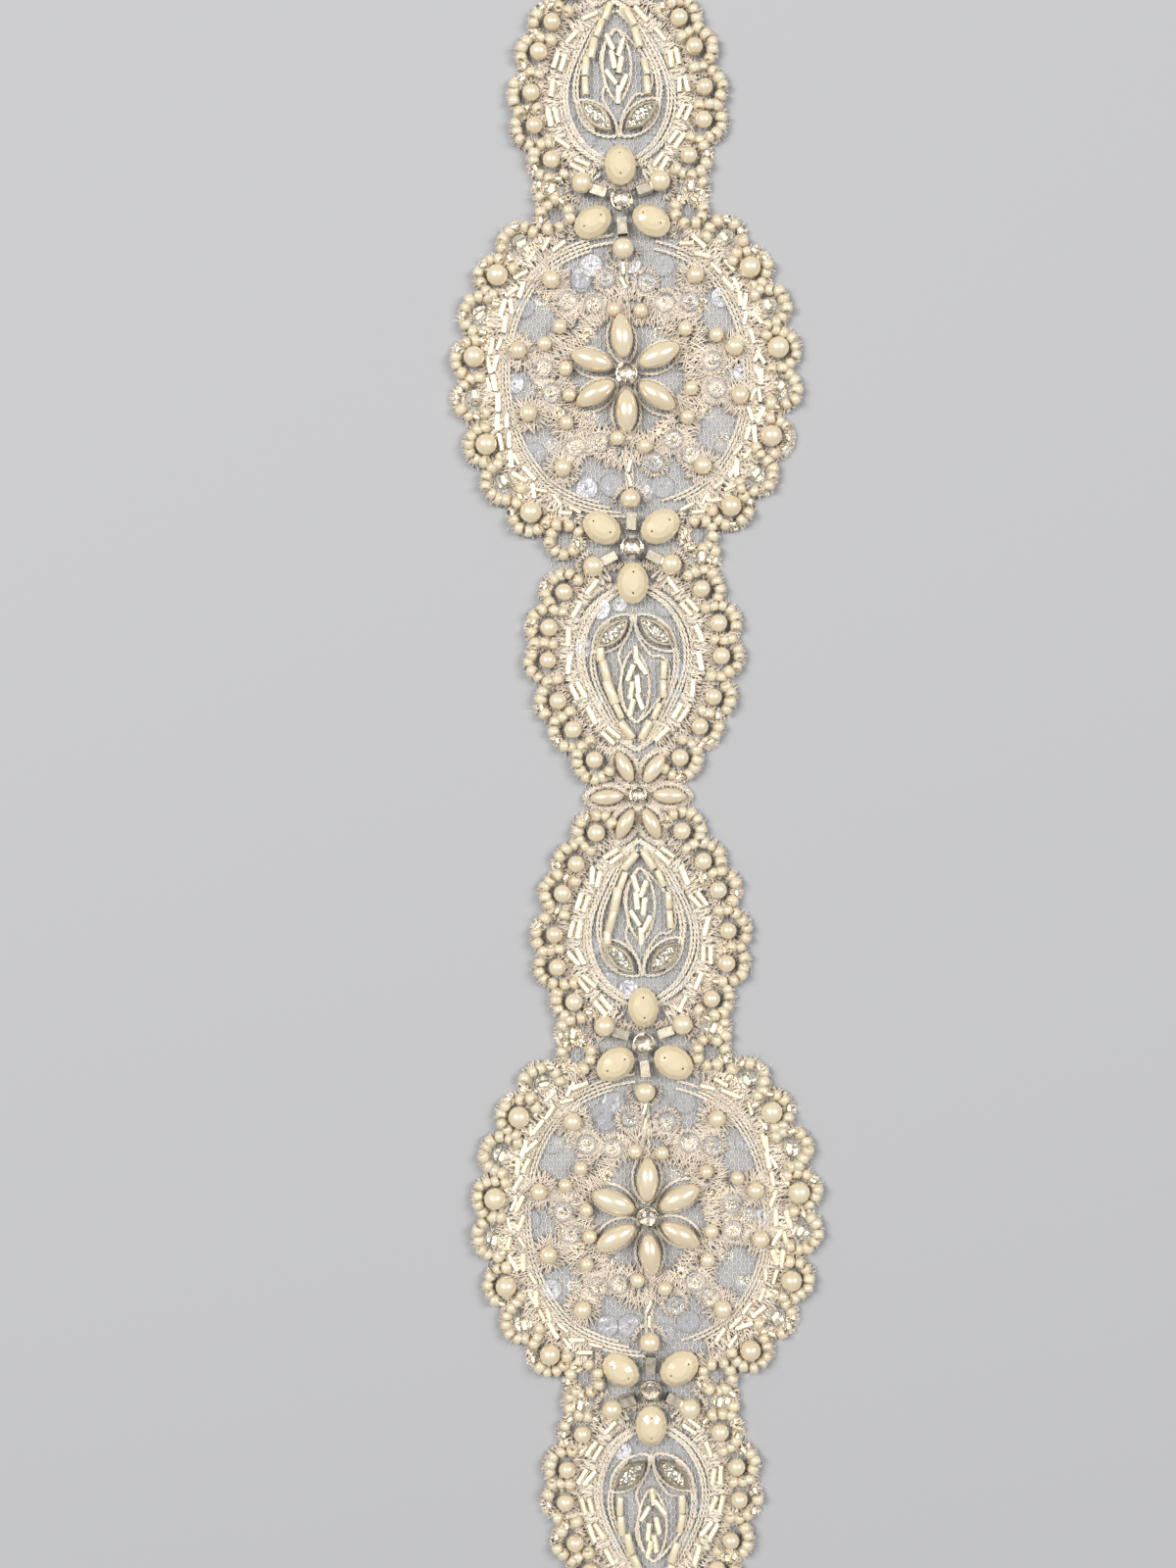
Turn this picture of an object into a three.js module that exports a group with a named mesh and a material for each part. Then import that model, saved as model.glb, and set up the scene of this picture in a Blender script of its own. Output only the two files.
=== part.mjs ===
// A cut length of beaded bridal trim, two repeats long, lying flat.
//
// A strip of embroidered net carries, in turn, a small pearl flower, a leaf medallion, a rosette,
// a round medallion with a pearl star, a rosette, a leaf medallion and the next flower.
// This file holds the net with its scalloped outline and the large pieces sewn on it: the rice
// pearls of the flowers and stars, the milky oval stones, the crystals in their cups and the
// leaf-shaped navette stones. The small beads and the thread are finer than these solids.
//
// Millimetres. X runs across the trim, Y along it and Z up. The origin is the middle of the
// underside, below the middle flower, and the underside is the plane Z = 0.

import * as THREE from "three";

// ---- Driving dimensions ----

const LEAF_SPAN = 46.8; // flower centre to rosette centre, along a leaf medallion
const ROUND_SPAN = 65.5; // rosette centre to rosette centre, across a round medallion
const REPEAT = 2 * LEAF_SPAN + ROUND_SPAN; // flower centre to flower centre
const END_MARGIN = 8.6; // net left beyond the last flower's centre, where the length is cut
const END_HALF_WIDTH = 9.4; // half the width of the straight cut
const NET_THICKNESS = 1; // net and embroidery together
const SEAT_GAP = 0.3; // between the net and what is sewn on it
const BOW = 0.2; // the strip lies in a very shallow bow: its middle is this far off the medallions' line
const ARC_STEP = THREE.MathUtils.degToRad(25); // longest step round a scallop

// The scallops of a leaf medallion, from the flower to the rosette. Each is a circle round one pearl:
// `out` from the centre line, `along` from the flower's centre, and its radius.
const LEAF_SCALLOPS = [
  { out: 8.1, along: 6.9, radius: 4.7 },
  { out: 12.0, along: 12.7, radius: 4.7 },
  { out: 14.7, along: 18.2, radius: 4.7 },
  { out: 16.4, along: 25.9, radius: 5.0 },
  { out: 16.0, along: 32.1, radius: 5.0 },
  { out: 13.1, along: 38.7, radius: 4.8 },
];
const FLOWER_SIDE = { out: 7.6, along: 0, radius: 3.2 }; // the net round a flower's side petal
const NECK = { out: 13.0, along: 44.6, radius: 2.8 }; // the net beside a rosette
const NECK_LOOP = { out: 13.6, along: 50.4, radius: 4.2 }; // the open bead loop that starts a round medallion

// The scallops of a round medallion stand on a slightly square circle, just inside the pearls' line.
const ROUND_SCALLOPS = 8; // on each side
const ROUND_REACH = THREE.MathUtils.degToRad(53.2); // angle of the last scallop from the medallion's waist
const ROUND_RADIUS = 27.9; // the circle's radius at the waist
const ROUND_SQUARE = 2.7; // how much further out it is at the last scallop
const ROUND_SCALLOP_RADIUS = 5.2;

// Sewn pieces.
const STAR_PEARL = { length: 8.6, width: 4.3, distance: 7.0 };
const STAR_ANGLES = [
  [89, 30, -29, -87, -149, 154], // degrees anticlockwise from +X, in the star nearer the lower cut end
  [96, 28, -38, -92, -149, 158], // and in the other
];
const FLOWER_PEARL = { length: 6.5, width: 3.0, distance: 5.9 };
const FLOWER_ANGLES = [-2, 58, 114, 182, 244, 294];
const STONE = { length: 7.9, width: 6.0, height: 3.0, distance: 6.7 };
const STONE_ANGLES = [0, 125, 235]; // from the direction of the leaf medallion
const LARGE_CRYSTAL = { radius: 2.05, height: 2.7 }; // in the stars and rosettes
const SMALL_CRYSTAL = { radius: 1.6, height: 2.2 }; // in the flowers
const NAVETTE = { length: 8, width: 3.8, height: 2.2, out: 4.1, along: 30.7, lean: 42 };

const COLOURS = {
  lace: { color: 0xe3d3bd, roughness: 0.9, metalness: 0 },
  pearl: { color: 0xe6cf9f, roughness: 0.25, metalness: 0 },
  stone: { color: 0xeed9a9, roughness: 0.2, metalness: 0 },
  crystal: { color: 0xd8cfc8, roughness: 0.1, metalness: 0.4 },
};

// ---- Placing ----

// How far the strip's own centre line stands to the side at a place along it.
const bow = (y) => BOW * (1 - (y / (REPEAT / 2)) ** 2);

// A point of the straight strip, on the bowed one.
const onStrip = (x, y) => new THREE.Vector2(x + bow(y), y);

const trim = new THREE.Group();

function add(name, geometry, finish) {
  const mesh = new THREE.Mesh(geometry, new THREE.MeshStandardMaterial(COLOURS[finish]));
  mesh.name = name;
  trim.add(mesh);
  return mesh;
}

// A piece sewn on the net, with its own middle at a place of the strip and turned by an angle.
function sew(name, geometry, finish, x, y, turn) {
  const mesh = add(name, geometry, finish);
  const place = onStrip(x, y);
  mesh.position.set(place.x, place.y, NET_THICKNESS + SEAT_GAP);
  mesh.rotation.z = turn;
}

// ---- The net ----

// The circles down one side of a round medallion, by angle from its waist.
function roundScallops() {
  return Array.from({ length: ROUND_SCALLOPS }, (_, i) => {
    const angle = ROUND_REACH * ((2 * i) / (ROUND_SCALLOPS - 1) - 1);
    const distance = ROUND_RADIUS + ROUND_SQUARE * (Math.sin(angle) / Math.sin(ROUND_REACH)) ** 2;
    return {
      out: distance * Math.cos(angle),
      along: REPEAT / 2 + distance * Math.sin(angle),
      radius: ROUND_SCALLOP_RADIUS,
    };
  });
}

// Every circle down the side of one repeat, from its flower to the last one before the next flower.
function repeatScallops() {
  const half = [...LEAF_SCALLOPS, NECK, NECK_LOOP];
  const mirrored = half.map((s) => ({ ...s, along: REPEAT - s.along })).reverse();
  return [FLOWER_SIDE, ...half, ...roundScallops(), ...mirrored];
}

// Where two overlapping circles meet, on the outer side of the line from a to b.
function meeting(a, b) {
  const dx = b.out - a.out;
  const dy = b.along - a.along;
  const apart = Math.hypot(dx, dy);
  const reach = (a.radius ** 2 - b.radius ** 2 + apart ** 2) / (2 * apart);
  const side = Math.sqrt(a.radius ** 2 - reach ** 2);
  return {
    x: a.out + (reach * dx + side * dy) / apart,
    y: a.along + (reach * dy - side * dx) / apart,
  };
}

// The points of one circle's arc, from one angle anticlockwise to another.
function arc(circle, from, to) {
  const span = (to - from + 2 * Math.PI) % (2 * Math.PI);
  const steps = Math.ceil(span / ARC_STEP);
  return Array.from({ length: steps }, (_, i) => {
    const angle = from + (span * i) / steps;
    return {
      x: circle.out + circle.radius * Math.cos(angle),
      y: circle.along + circle.radius * Math.sin(angle),
    };
  });
}

const angleOf = (circle, p) => Math.atan2(p.y - circle.along, p.x - circle.out);

// The right-hand edge of the straight strip, from the lower cut end to the upper one.
function rightEdge() {
  const lower = repeatScallops().map((s) => ({ ...s, along: s.along - REPEAT }));
  const chain = [...lower, ...repeatScallops(), { ...FLOWER_SIDE, along: REPEAT }];
  const end = REPEAT + END_MARGIN;
  const points = [{ x: END_HALF_WIDTH, y: -end }];
  chain.forEach((circle, i) => {
    const from = i === 0 ? -Math.PI / 4 : angleOf(circle, meeting(chain[i - 1], circle));
    const to = i === chain.length - 1 ? Math.PI / 4 : angleOf(circle, meeting(circle, chain[i + 1]));
    points.push(...arc(circle, from, to));
  });
  points.push({ x: END_HALF_WIDTH, y: end });
  return points;
}

function netGround() {
  const right = rightEdge();
  const left = right.map(({ x, y }) => ({ x: -x, y })).reverse();
  const shape = new THREE.Shape([...right, ...left].map(({ x, y }) => onStrip(x, y)));
  return new THREE.ExtrudeGeometry(shape, { depth: NET_THICKNESS, bevelEnabled: false });
}

// ---- The sewn pieces ----

// A rice pearl: a spindle lying along +X, centred, with its lowest line at Z = 0.
function ricePearl({ length, width }) {
  const rings = 9;
  const sides = 12;
  const fullness = 0.8; // 1 would be a plain sine; less keeps the pearl fat nearer its ends
  const profile = Array.from({ length: rings }, (_, i) => {
    const share = i / (rings - 1);
    const thickness = Math.sin(Math.PI * share) ** fullness;
    return new THREE.Vector2((width / 2) * thickness, length * (share - 0.5));
  });
  profile[0].x = 0;
  profile[rings - 1].x = 0;
  const pearl = new THREE.LatheGeometry(profile, sides);
  pearl.rotateZ(-Math.PI / 2); // with an even number of sides, one corner line lies lowest
  pearl.translate(0, 0, width / 2);
  return pearl;
}

// A stone cut in rows of facets, each row's corners half a step round from the last one's.
// `rows` lists the height and the share of the full outline for each row; `outline` gives the
// girdle's point at an angle, and the flat back is the first row.
function facetedStone(rows, sides, outline) {
  const points = [];
  rows.forEach(({ height, share }, row) => {
    for (let i = 0; i < sides; i++) {
      const p = outline((2 * Math.PI * (i + row / 2)) / sides);
      points.push(p.x * share, p.y * share, height);
    }
  });
  const faces = [];
  const at = (row, i) => row * sides + (i % sides);
  for (let row = 0; row < rows.length - 1; row++) {
    for (let i = 0; i < sides; i++) {
      faces.push(at(row, i), at(row, i + 1), at(row + 1, i));
      faces.push(at(row, i + 1), at(row + 1, i + 1), at(row + 1, i));
    }
  }
  const last = rows.length - 1;
  for (let i = 1; i < sides - 1; i++) {
    faces.push(at(0, 0), at(0, i + 1), at(0, i));
    faces.push(at(last, 0), at(last, i), at(last, i + 1));
  }
  const stone = new THREE.BufferGeometry();
  stone.setAttribute("position", new THREE.Float32BufferAttribute(points, 3));
  stone.setIndex(faces);
  return stone;
}

const oval = (length, width) => (angle) =>
  new THREE.Vector2((length / 2) * Math.cos(angle), (width / 2) * Math.sin(angle));

// A navette's outline: two equal arcs that meet in a point at each end.
const lens = (length, width) => (angle) => {
  const x = Math.cos(angle);
  const bulge = 1 - x * x;
  return new THREE.Vector2((length / 2) * x, (width / 2) * bulge * Math.sign(Math.sin(angle)));
};

function ovalStone() {
  const { length, width, height } = STONE;
  const rows = [
    { height: 0, share: 0.88 },
    { height: 0.3 * height, share: 1 },
    { height: 0.64 * height, share: 0.86 },
    { height: 0.88 * height, share: 0.58 },
    { height, share: 0.26 },
  ];
  const sides = 10;
  return facetedStone(rows, sides, oval(length, width));
}

function crystal({ radius, height }) {
  const rows = [
    { height: 0, share: 0.8 },
    { height: 0.22 * height, share: 1 },
    { height: 0.62 * height, share: 1 },
    { height: 0.84 * height, share: 0.8 },
    { height, share: 0.5 },
  ];
  const sides = 12;
  return facetedStone(rows, sides, oval(2 * radius, 2 * radius));
}

function navette() {
  const { length, width, height } = NAVETTE;
  const sides = 12;
  const outline = Array.from({ length: sides }, (_, i) => lens(length, width)((2 * Math.PI * i) / sides));
  const bevel = 0.3 * height;
  const inset = 0.16 * width;
  const inner = outline.map((p) => p.clone().multiplyScalar(1 - (2 * inset) / width));
  const stone = new THREE.ExtrudeGeometry(new THREE.Shape(inner), {
    depth: height - 2 * bevel,
    bevelThickness: bevel,
    bevelSize: inset,
    bevelSegments: 1,
  });
  stone.translate(0, 0, bevel);
  return stone;
}

// A ring of rice pearls round a crystal.
function pearlFlower(name, y, pearl, angles, middle) {
  angles.forEach((degrees, i) => {
    const angle = THREE.MathUtils.degToRad(degrees);
    const x = pearl.distance * Math.cos(angle);
    const along = y + pearl.distance * Math.sin(angle);
    sew(`${name}_petal_${i + 1}`, ricePearl(pearl), "pearl", x, along, angle);
  });
  sew(`${name}_crystal`, crystal(middle), "crystal", 0, y, 0);
}

// Three oval stones round a crystal. `leafward` is +1 where the leaf medallion lies towards +Y.
function rosette(name, y, leafward) {
  STONE_ANGLES.forEach((degrees, i) => {
    const angle = THREE.MathUtils.degToRad(leafward * 90 + degrees);
    const x = STONE.distance * Math.cos(angle);
    const along = y + STONE.distance * Math.sin(angle);
    sew(`${name}_stone_${i + 1}`, ovalStone(), "stone", x, along, angle);
  });
  sew(`${name}_crystal`, crystal(LARGE_CRYSTAL), "crystal", 0, y, 0);
}

// The two navettes of a leaf medallion that runs from a flower at y towards `direction` (+1 or -1).
function navettes(name, y, direction) {
  const along = y + direction * NAVETTE.along;
  for (const [side, sign] of [["left", -1], ["right", 1]]) {
    const turn = THREE.MathUtils.degToRad(90 + direction * sign * NAVETTE.lean);
    sew(`${name}_navette_${side}`, navette(), "crystal", sign * NAVETTE.out, along, turn);
  }
}

// ---- The whole length ----

add("net_ground", netGround(), "lace");

[-REPEAT, 0, REPEAT].forEach((y, i) => {
  pearlFlower(`flower_${i + 1}`, y, FLOWER_PEARL, FLOWER_ANGLES, SMALL_CRYSTAL);
});
[-REPEAT / 2, REPEAT / 2].forEach((y, i) => {
  pearlFlower(`star_${i + 1}`, y, STAR_PEARL, STAR_ANGLES[i], LARGE_CRYSTAL);
});

const rosettes = [
  { y: -REPEAT + LEAF_SPAN, leafward: -1 },
  { y: -LEAF_SPAN, leafward: 1 },
  { y: LEAF_SPAN, leafward: -1 },
  { y: REPEAT - LEAF_SPAN, leafward: 1 },
];
rosettes.forEach(({ y, leafward }, i) => rosette(`rosette_${i + 1}`, y, leafward));

const leaves = [
  { flower: -REPEAT, direction: 1 },
  { flower: 0, direction: -1 },
  { flower: 0, direction: 1 },
  { flower: REPEAT, direction: -1 },
];
leaves.forEach(({ flower, direction }, i) => navettes(`leaf_${i + 1}`, flower, direction));

export default trim;
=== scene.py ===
# %% [markdown]
# # A beaded sequin trim, built in the frame of its solids
#
# The trim is a strip of fine net, about 66 mm wide. Round medallions and leaf-shaped medallions
# take turns along it, joined at pearl flowers and at rosettes of milky oval stones. Thread is
# embroidered on the net, and pearls, seed beads, bugles, crystals and clear sequins are sewn on.
# The solids hold the outline and the places of the large stones. This script reads those places
# from the frame and makes every visible piece round them.

# %% Load the frame
import math
import random

import bmesh
import bpy
from mathutils import Matrix, Vector


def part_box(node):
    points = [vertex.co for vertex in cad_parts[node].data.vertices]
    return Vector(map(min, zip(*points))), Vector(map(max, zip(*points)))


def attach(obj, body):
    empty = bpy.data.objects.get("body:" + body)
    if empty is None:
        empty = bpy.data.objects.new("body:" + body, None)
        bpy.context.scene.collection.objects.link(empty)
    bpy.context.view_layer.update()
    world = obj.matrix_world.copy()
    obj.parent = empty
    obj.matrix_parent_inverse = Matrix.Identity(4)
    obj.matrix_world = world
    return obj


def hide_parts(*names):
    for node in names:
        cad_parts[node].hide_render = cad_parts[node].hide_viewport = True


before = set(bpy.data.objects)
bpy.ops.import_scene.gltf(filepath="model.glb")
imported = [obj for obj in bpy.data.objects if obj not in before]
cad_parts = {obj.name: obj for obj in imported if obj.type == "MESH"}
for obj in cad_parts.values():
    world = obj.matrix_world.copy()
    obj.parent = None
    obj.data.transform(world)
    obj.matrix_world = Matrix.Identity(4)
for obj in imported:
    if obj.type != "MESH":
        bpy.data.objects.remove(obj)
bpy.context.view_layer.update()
MM = 0.001

# %% [markdown]
# ## Places along the strip
#
# A bead is easiest to place in its own medallion. A leaf medallion measures `out` from its middle
# line and `along` from its flower towards its rosette. A round medallion measures a radius and an
# angle from its star. Every place could be typed as a plain X and Y, but both kinds of place take
# their origin and direction from the solids of the crystals instead. So if the strip is bowed or
# turned there, every bead follows it.


# %% Places from the frame
def middle(node_name):
    """The middle of a solid's box, on the ground plane."""
    low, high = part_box(node_name)
    return Vector(((low[0] + high[0]) / 2, (low[1] + high[1]) / 2, 0))


class Place:
    """A flat frame in millimetres: `across` runs to the right-hand side, `ahead` along the strip."""

    def __init__(self, origin, towards):
        self.origin = origin
        self.ahead = (towards - origin).normalized()
        across = Vector((self.ahead.y, -self.ahead.x, 0))
        self.across = across if across.x > 0 else -across

    def at(self, out, along, height=0.0):
        flat = self.origin + (self.across * out + self.ahead * along) * MM
        return Vector((flat.x, flat.y, height * MM))

    def polar(self, radius, degrees, height=0.0):
        angle = math.radians(degrees)
        return self.at(radius * math.cos(angle), radius * math.sin(angle), height)

    def heading(self, degrees):
        """The same direction as an angle from +X, for turning what is sewn on."""
        way = self.polar(1, degrees) - self.at(0, 0)
        return math.atan2(way.y, way.x)


FLOWERS = [middle(f"flower_{i}_crystal") for i in (1, 2, 3)]
ROSETTES = [middle(f"rosette_{i}_crystal") for i in (1, 2, 3, 4)]
STARS = [middle(f"star_{i}_crystal") for i in (1, 2)]
FLOWER_AND_ROSETTE = ((0, 0), (1, 1), (1, 2), (2, 3))
LEAVES = [Place(FLOWERS[f], ROSETTES[r]) for f, r in FLOWER_AND_ROSETTE]
ROUNDS = [Place(star, ROSETTES[upper]) for star, upper in zip(STARS, (1, 3))]
# From each rosette towards its leaf medallion.
ROSETTE_PLACES = [Place(ROSETTES[r], FLOWERS[f]) for f, r in FLOWER_AND_ROSETTE]
print("leaf medallions are", round((ROSETTES[1] - FLOWERS[1]).length / MM, 2), "mm long")
print("a star stands", round((ROSETTES[1] - STARS[0]).length / MM, 2), "mm from its rosette")

# %% [markdown]
# ## Node trees, one line a node
#
# A node tree reads best when each node is one line of the script. `node` makes a node, joins the
# sockets that are given as sockets and sets the others as plain values. `new_tree` makes a group
# with named inputs: each is given by its start value, or by the kind of socket where it has none.


# %% Node helpers
SOCKETS = {
    "geometry": "NodeSocketGeometry",
    "object": "NodeSocketObject",
    "material": "NodeSocketMaterial",
    "number": "NodeSocketFloat",
    "whole": "NodeSocketInt",
    "color": "NodeSocketColor",
}


def node(tree, kind, sockets=None, out=0, **settings):
    """Adds a node to a tree, and gives back one of its outputs."""
    made = tree.nodes.new(kind)
    for key, value in settings.items():
        setattr(made, key, value)
    for key, value in (sockets or {}).items():
        if isinstance(value, bpy.types.NodeSocket):
            tree.links.new(value, made.inputs[key])
        else:
            made.inputs[key].default_value = value
    return made.outputs[out]


def new_tree(name, kind, inputs, outputs):
    """A node group: inputs are label and start value (or kind), outputs are label and kind."""
    tree = bpy.data.node_groups.new(name, kind)
    for label, start in inputs.items():
        socket = "whole" if isinstance(start, int) else "number"
        if isinstance(start, str):
            socket = start
        made = tree.interface.new_socket(label, in_out="INPUT", socket_type=SOCKETS[socket])
        if not isinstance(start, str):
            made.default_value = start
    for label, socket in outputs.items():
        tree.interface.new_socket(label, in_out="OUTPUT", socket_type=SOCKETS[socket])
    return tree, tree.nodes.new("NodeGroupInput").outputs, tree.nodes.new("NodeGroupOutput").inputs


print("kinds of socket:", ", ".join(SOCKETS))

# %% [markdown]
# ## Effects shared by several finishes
#
# Nothing hand-sewn is one flat colour: each bead and each stitch differs a little from the next.
# Geometry Nodes gives every copy a number called `tint`, and a shader group mixes two colours by
# it, with a soft cloud of noise across the whole strip. A second group is the fuzz of spun thread,
# as a height for bump. It also dimples the sequins. A third is dulled silver plate, bright where
# it is rubbed and darker in patches. They are built once, and each material places them with its
# own values.


# %% Shader groups
def object_noise(tree, scale, detail):
    spot = node(tree, "ShaderNodeTexCoord", out="Object")
    return node(tree, "ShaderNodeTexNoise", {"Vector": spot, "Scale": scale, "Detail": detail}, out="Fac")


def blend(tree, share, first, second):
    """Two colours mixed by a share."""
    return node(tree, "ShaderNodeMix", {0: share, 6: first, 7: second}, data_type="RGBA", out=2)


def make_variety():
    inputs = {"Light": "color", "Dark": "color", "Cloud Scale": 300.0, "Own Share": 0.6}
    outputs = {"Color": "color", "Factor": "number"}
    tree, ins, outs = new_tree("sewn_variety", "ShaderNodeTree", inputs, outputs)
    own = node(tree, "ShaderNodeAttribute", attribute_name="tint", out="Fac")
    cloud = object_noise(tree, ins["Cloud Scale"], 3.0)
    steep = node(tree, "ShaderNodeMapRange", {"Value": cloud, "From Min": 0.3, "From Max": 0.7})
    both = node(tree, "ShaderNodeMix", {0: ins["Own Share"], 2: steep, 3: own}, data_type="FLOAT")
    tree.links.new(blend(tree, both, ins["Dark"], ins["Light"]), outs["Color"])
    tree.links.new(both, outs["Factor"])
    return tree


def make_fuzz():
    inputs = {"Strand Scale": 5000.0, "Depth": 1.0}
    tree, ins, outs = new_tree("thread_fuzz", "ShaderNodeTree", inputs, {"Height": "number"})
    coarse = object_noise(tree, ins["Strand Scale"], 2.0)
    height = node(tree, "ShaderNodeMath", {0: coarse, 1: ins["Depth"]}, operation="MULTIPLY")
    tree.links.new(height, outs["Height"])
    return tree


def make_dull_silver():
    inputs = {"Bright": "color", "Tarnish": "color", "Patch Scale": 900.0}
    outputs = {"Color": "color", "Roughness": "number"}
    tree, ins, outs = new_tree("dulled_silver", "ShaderNodeTree", inputs, outputs)
    patch = object_noise(tree, ins["Patch Scale"], 4.0)
    amount = node(tree, "ShaderNodeMapRange", {"Value": patch, "From Min": 0.42, "From Max": 0.68})
    tree.links.new(blend(tree, amount, ins["Bright"], ins["Tarnish"]), outs["Color"])
    rough = node(tree, "ShaderNodeMapRange", {"Value": patch, "To Min": 0.2, "To Max": 0.5})
    tree.links.new(rough, outs["Roughness"])
    return tree


VARIETY = make_variety()
FUZZ = make_fuzz()
DULL_SILVER = make_dull_silver()
print("shader groups:", VARIETY.name, FUZZ.name, DULL_SILVER.name)

# %% [markdown]
# ## Starting a material
#
# Every finish is the Principled shader with some of its sockets set. What is the same all over a
# piece is set on the shader itself. Only what changes over the surface comes through a group. The
# plainest finish comes first: the card that the trim lies on has one colour and no group at all.


# %% Material helpers
def new_material(name):
    material = bpy.data.materials.new(name)
    material.use_nodes = True
    tree = material.node_tree
    return material, tree, tree.nodes["Principled BSDF"]


def use_group(tree, group, values):
    made = tree.nodes.new("ShaderNodeGroup")
    made.node_tree = group
    for key, value in values.items():
        made.inputs[key].default_value = value
    return made


def set_shader(shader, **values):
    for key, value in values.items():
        shader.inputs[key.replace("_", " ")].default_value = value


def varied(tree, shader, light, dark, cloud, own):
    """Colours the shader between two colours, and gives back the group for its factor."""
    values = {"Light": (*light, 1), "Dark": (*dark, 1), "Cloud Scale": cloud, "Own Share": own}
    group = use_group(tree, VARIETY, values)
    tree.links.new(group.outputs["Color"], shader.inputs["Base Color"])
    return group


def fuzzy(tree, shader, scale, depth, distance):
    group = use_group(tree, FUZZ, {"Strand Scale": scale, "Depth": depth})
    bump = node(tree, "ShaderNodeBump", {"Height": group.outputs["Height"], "Distance": distance * MM})
    tree.links.new(bump, shader.inputs["Normal"])


FLOOR_CARD, _, card_shader = new_material("floor_card")
set_shader(card_shader, Base_Color=(0.43, 0.435, 0.45, 1), Roughness=0.9)
print("first material:", FLOOR_CARD.name)

# %% [markdown]
# ## Thread, pearl and milky glass
#
# Thread is matt with a little sheen. The padding under the stitches is the same thread in darker
# colours, which are painted shade, because little light gets down to it. A glass pearl has a body
# coated in pearl essence, which is half a metal to look at, under a clear coat that gives its
# sharp highlights. Seed beads and milky stones are made the same way, with less metal and more
# light going a little way in.


# %% Thread and pearl
def thread_material(name, light, dark, sheen):
    material, tree, shader = new_material(name)
    varied(tree, shader, light, dark, cloud=420.0, own=0.7)
    fuzzy(tree, shader, scale=9000.0, depth=1.0, distance=0.05)
    set_shader(shader, Roughness=0.72, Sheen_Weight=sheen, Sheen_Roughness=0.4, Subsurface_Weight=0.12)
    set_shader(shader, Subsurface_Radius=(0.5, 0.4, 0.3), Subsurface_Scale=0.0006)
    return material


def pearl_material(name, light, dark, roughness, cloud, metal=0.0, depth=0.25, clear=0.0, coat=1.0):
    """A coated body: `depth` lets light a little way in, and `clear` lets some through."""
    material, tree, shader = new_material(name)
    varied(tree, shader, light, dark, cloud=cloud, own=0.55)
    set_shader(shader, Roughness=roughness, Metallic=metal, Specular_IOR_Level=0.8)
    set_shader(shader, Subsurface_Weight=depth, Subsurface_Scale=0.0006, Transmission_Weight=clear)
    set_shader(shader, Subsurface_Radius=(1.0, 0.85, 0.65))
    set_shader(shader, Coat_Weight=coat, Coat_Roughness=0.06, Coat_IOR=1.7, Coat_Tint=(1.0, 0.97, 0.90, 1))
    set_shader(shader, Sheen_Weight=0.3, Sheen_Roughness=0.35, Sheen_Tint=(1.0, 0.88, 0.66, 1))
    return material


NET_THREAD = thread_material("net_thread", (0.92, 0.88, 0.82), (0.78, 0.73, 0.67), sheen=0.2)
ECRU_THREAD = thread_material("ecru_thread", (0.98, 0.88, 0.76), (0.84, 0.72, 0.59), sheen=0.3)
# The padding's darker colours are painted shade: the same thread as it looks in the shadow of the stitches
# over it.
SHADED_PADDING_THREAD = thread_material("padding_thread", (0.74, 0.64, 0.53), (0.54, 0.45, 0.36), sheen=0.1)
PALE_CORD = thread_material("pale_cord", (0.98, 0.91, 0.78), (0.82, 0.72, 0.57), sheen=0.3)
PEARL = pearl_material(
    "ivory_pearl", (0.95, 0.85, 0.67), (0.87, 0.75, 0.56), roughness=0.26, cloud=500.0, metal=0.36
)
RICE_PEARL = pearl_material(
    "rice_pearl", (0.96, 0.86, 0.68), (0.84, 0.72, 0.54), roughness=0.24, cloud=350.0, metal=0.4
)
CREAM_BEAD = pearl_material(
    "cream_seed", (1.0, 0.90, 0.73), (0.92, 0.78, 0.60), roughness=0.12, cloud=600.0, depth=0.5, clear=0.25
)
MILKY = pearl_material(
    "milky_stone", (0.76, 0.66, 0.47), (0.72, 0.62, 0.43), roughness=0.2, cloud=250.0, coat=0.5
)
CREAM_BUGLE = pearl_material(
    "cream_bugle", (0.82, 0.76, 0.60), (0.72, 0.64, 0.47), roughness=0.28, cloud=400.0
)
print("thread, pearl and milky finishes are made, the last one", CREAM_BUGLE.name)

# %% [markdown]
# ## Glass, silver and sequin film
#
# Clear glass is true glass over a silver lining, because that is how silver-lined beads are made.
# Glass casts a dark shadow on its own lining, so it also lets the lamps' rays pass straight
# through. Linings, foils and cups share the dulled silver. Sequins are punched from clear film,
# mostly see-through, dimpled, with a glossy coat that flashes where one faces a lamp.


# %% Glass, silver and sequins
def glass_material(name, tint, roughness):
    """Clear glass that lets the lamps light what is behind it."""
    material, tree, shader = new_material(name)
    set_shader(shader, Base_Color=(*tint, 1), Roughness=roughness, IOR=1.5, Transmission_Weight=1.0)
    from_lamp = node(tree, "ShaderNodeLightPath", out="Is Shadow Ray")
    passed = node(tree, "ShaderNodeBsdfTransparent", {"Color": (*tint, 1)})
    both = node(tree, "ShaderNodeMixShader", {0: from_lamp, 1: shader.outputs[0], 2: passed})
    tree.links.new(both, tree.nodes["Material Output"].inputs["Surface"])
    return material


def silver_material(name, bright, tarnish, scale, metal=1.0):
    material, tree, shader = new_material(name)
    values = {"Bright": (*bright, 1), "Tarnish": (*tarnish, 1), "Patch Scale": scale}
    group = use_group(tree, DULL_SILVER, values)
    tree.links.new(group.outputs["Color"], shader.inputs["Base Color"])
    tree.links.new(group.outputs["Roughness"], shader.inputs["Roughness"])
    set_shader(shader, Metallic=metal)
    return material


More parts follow.
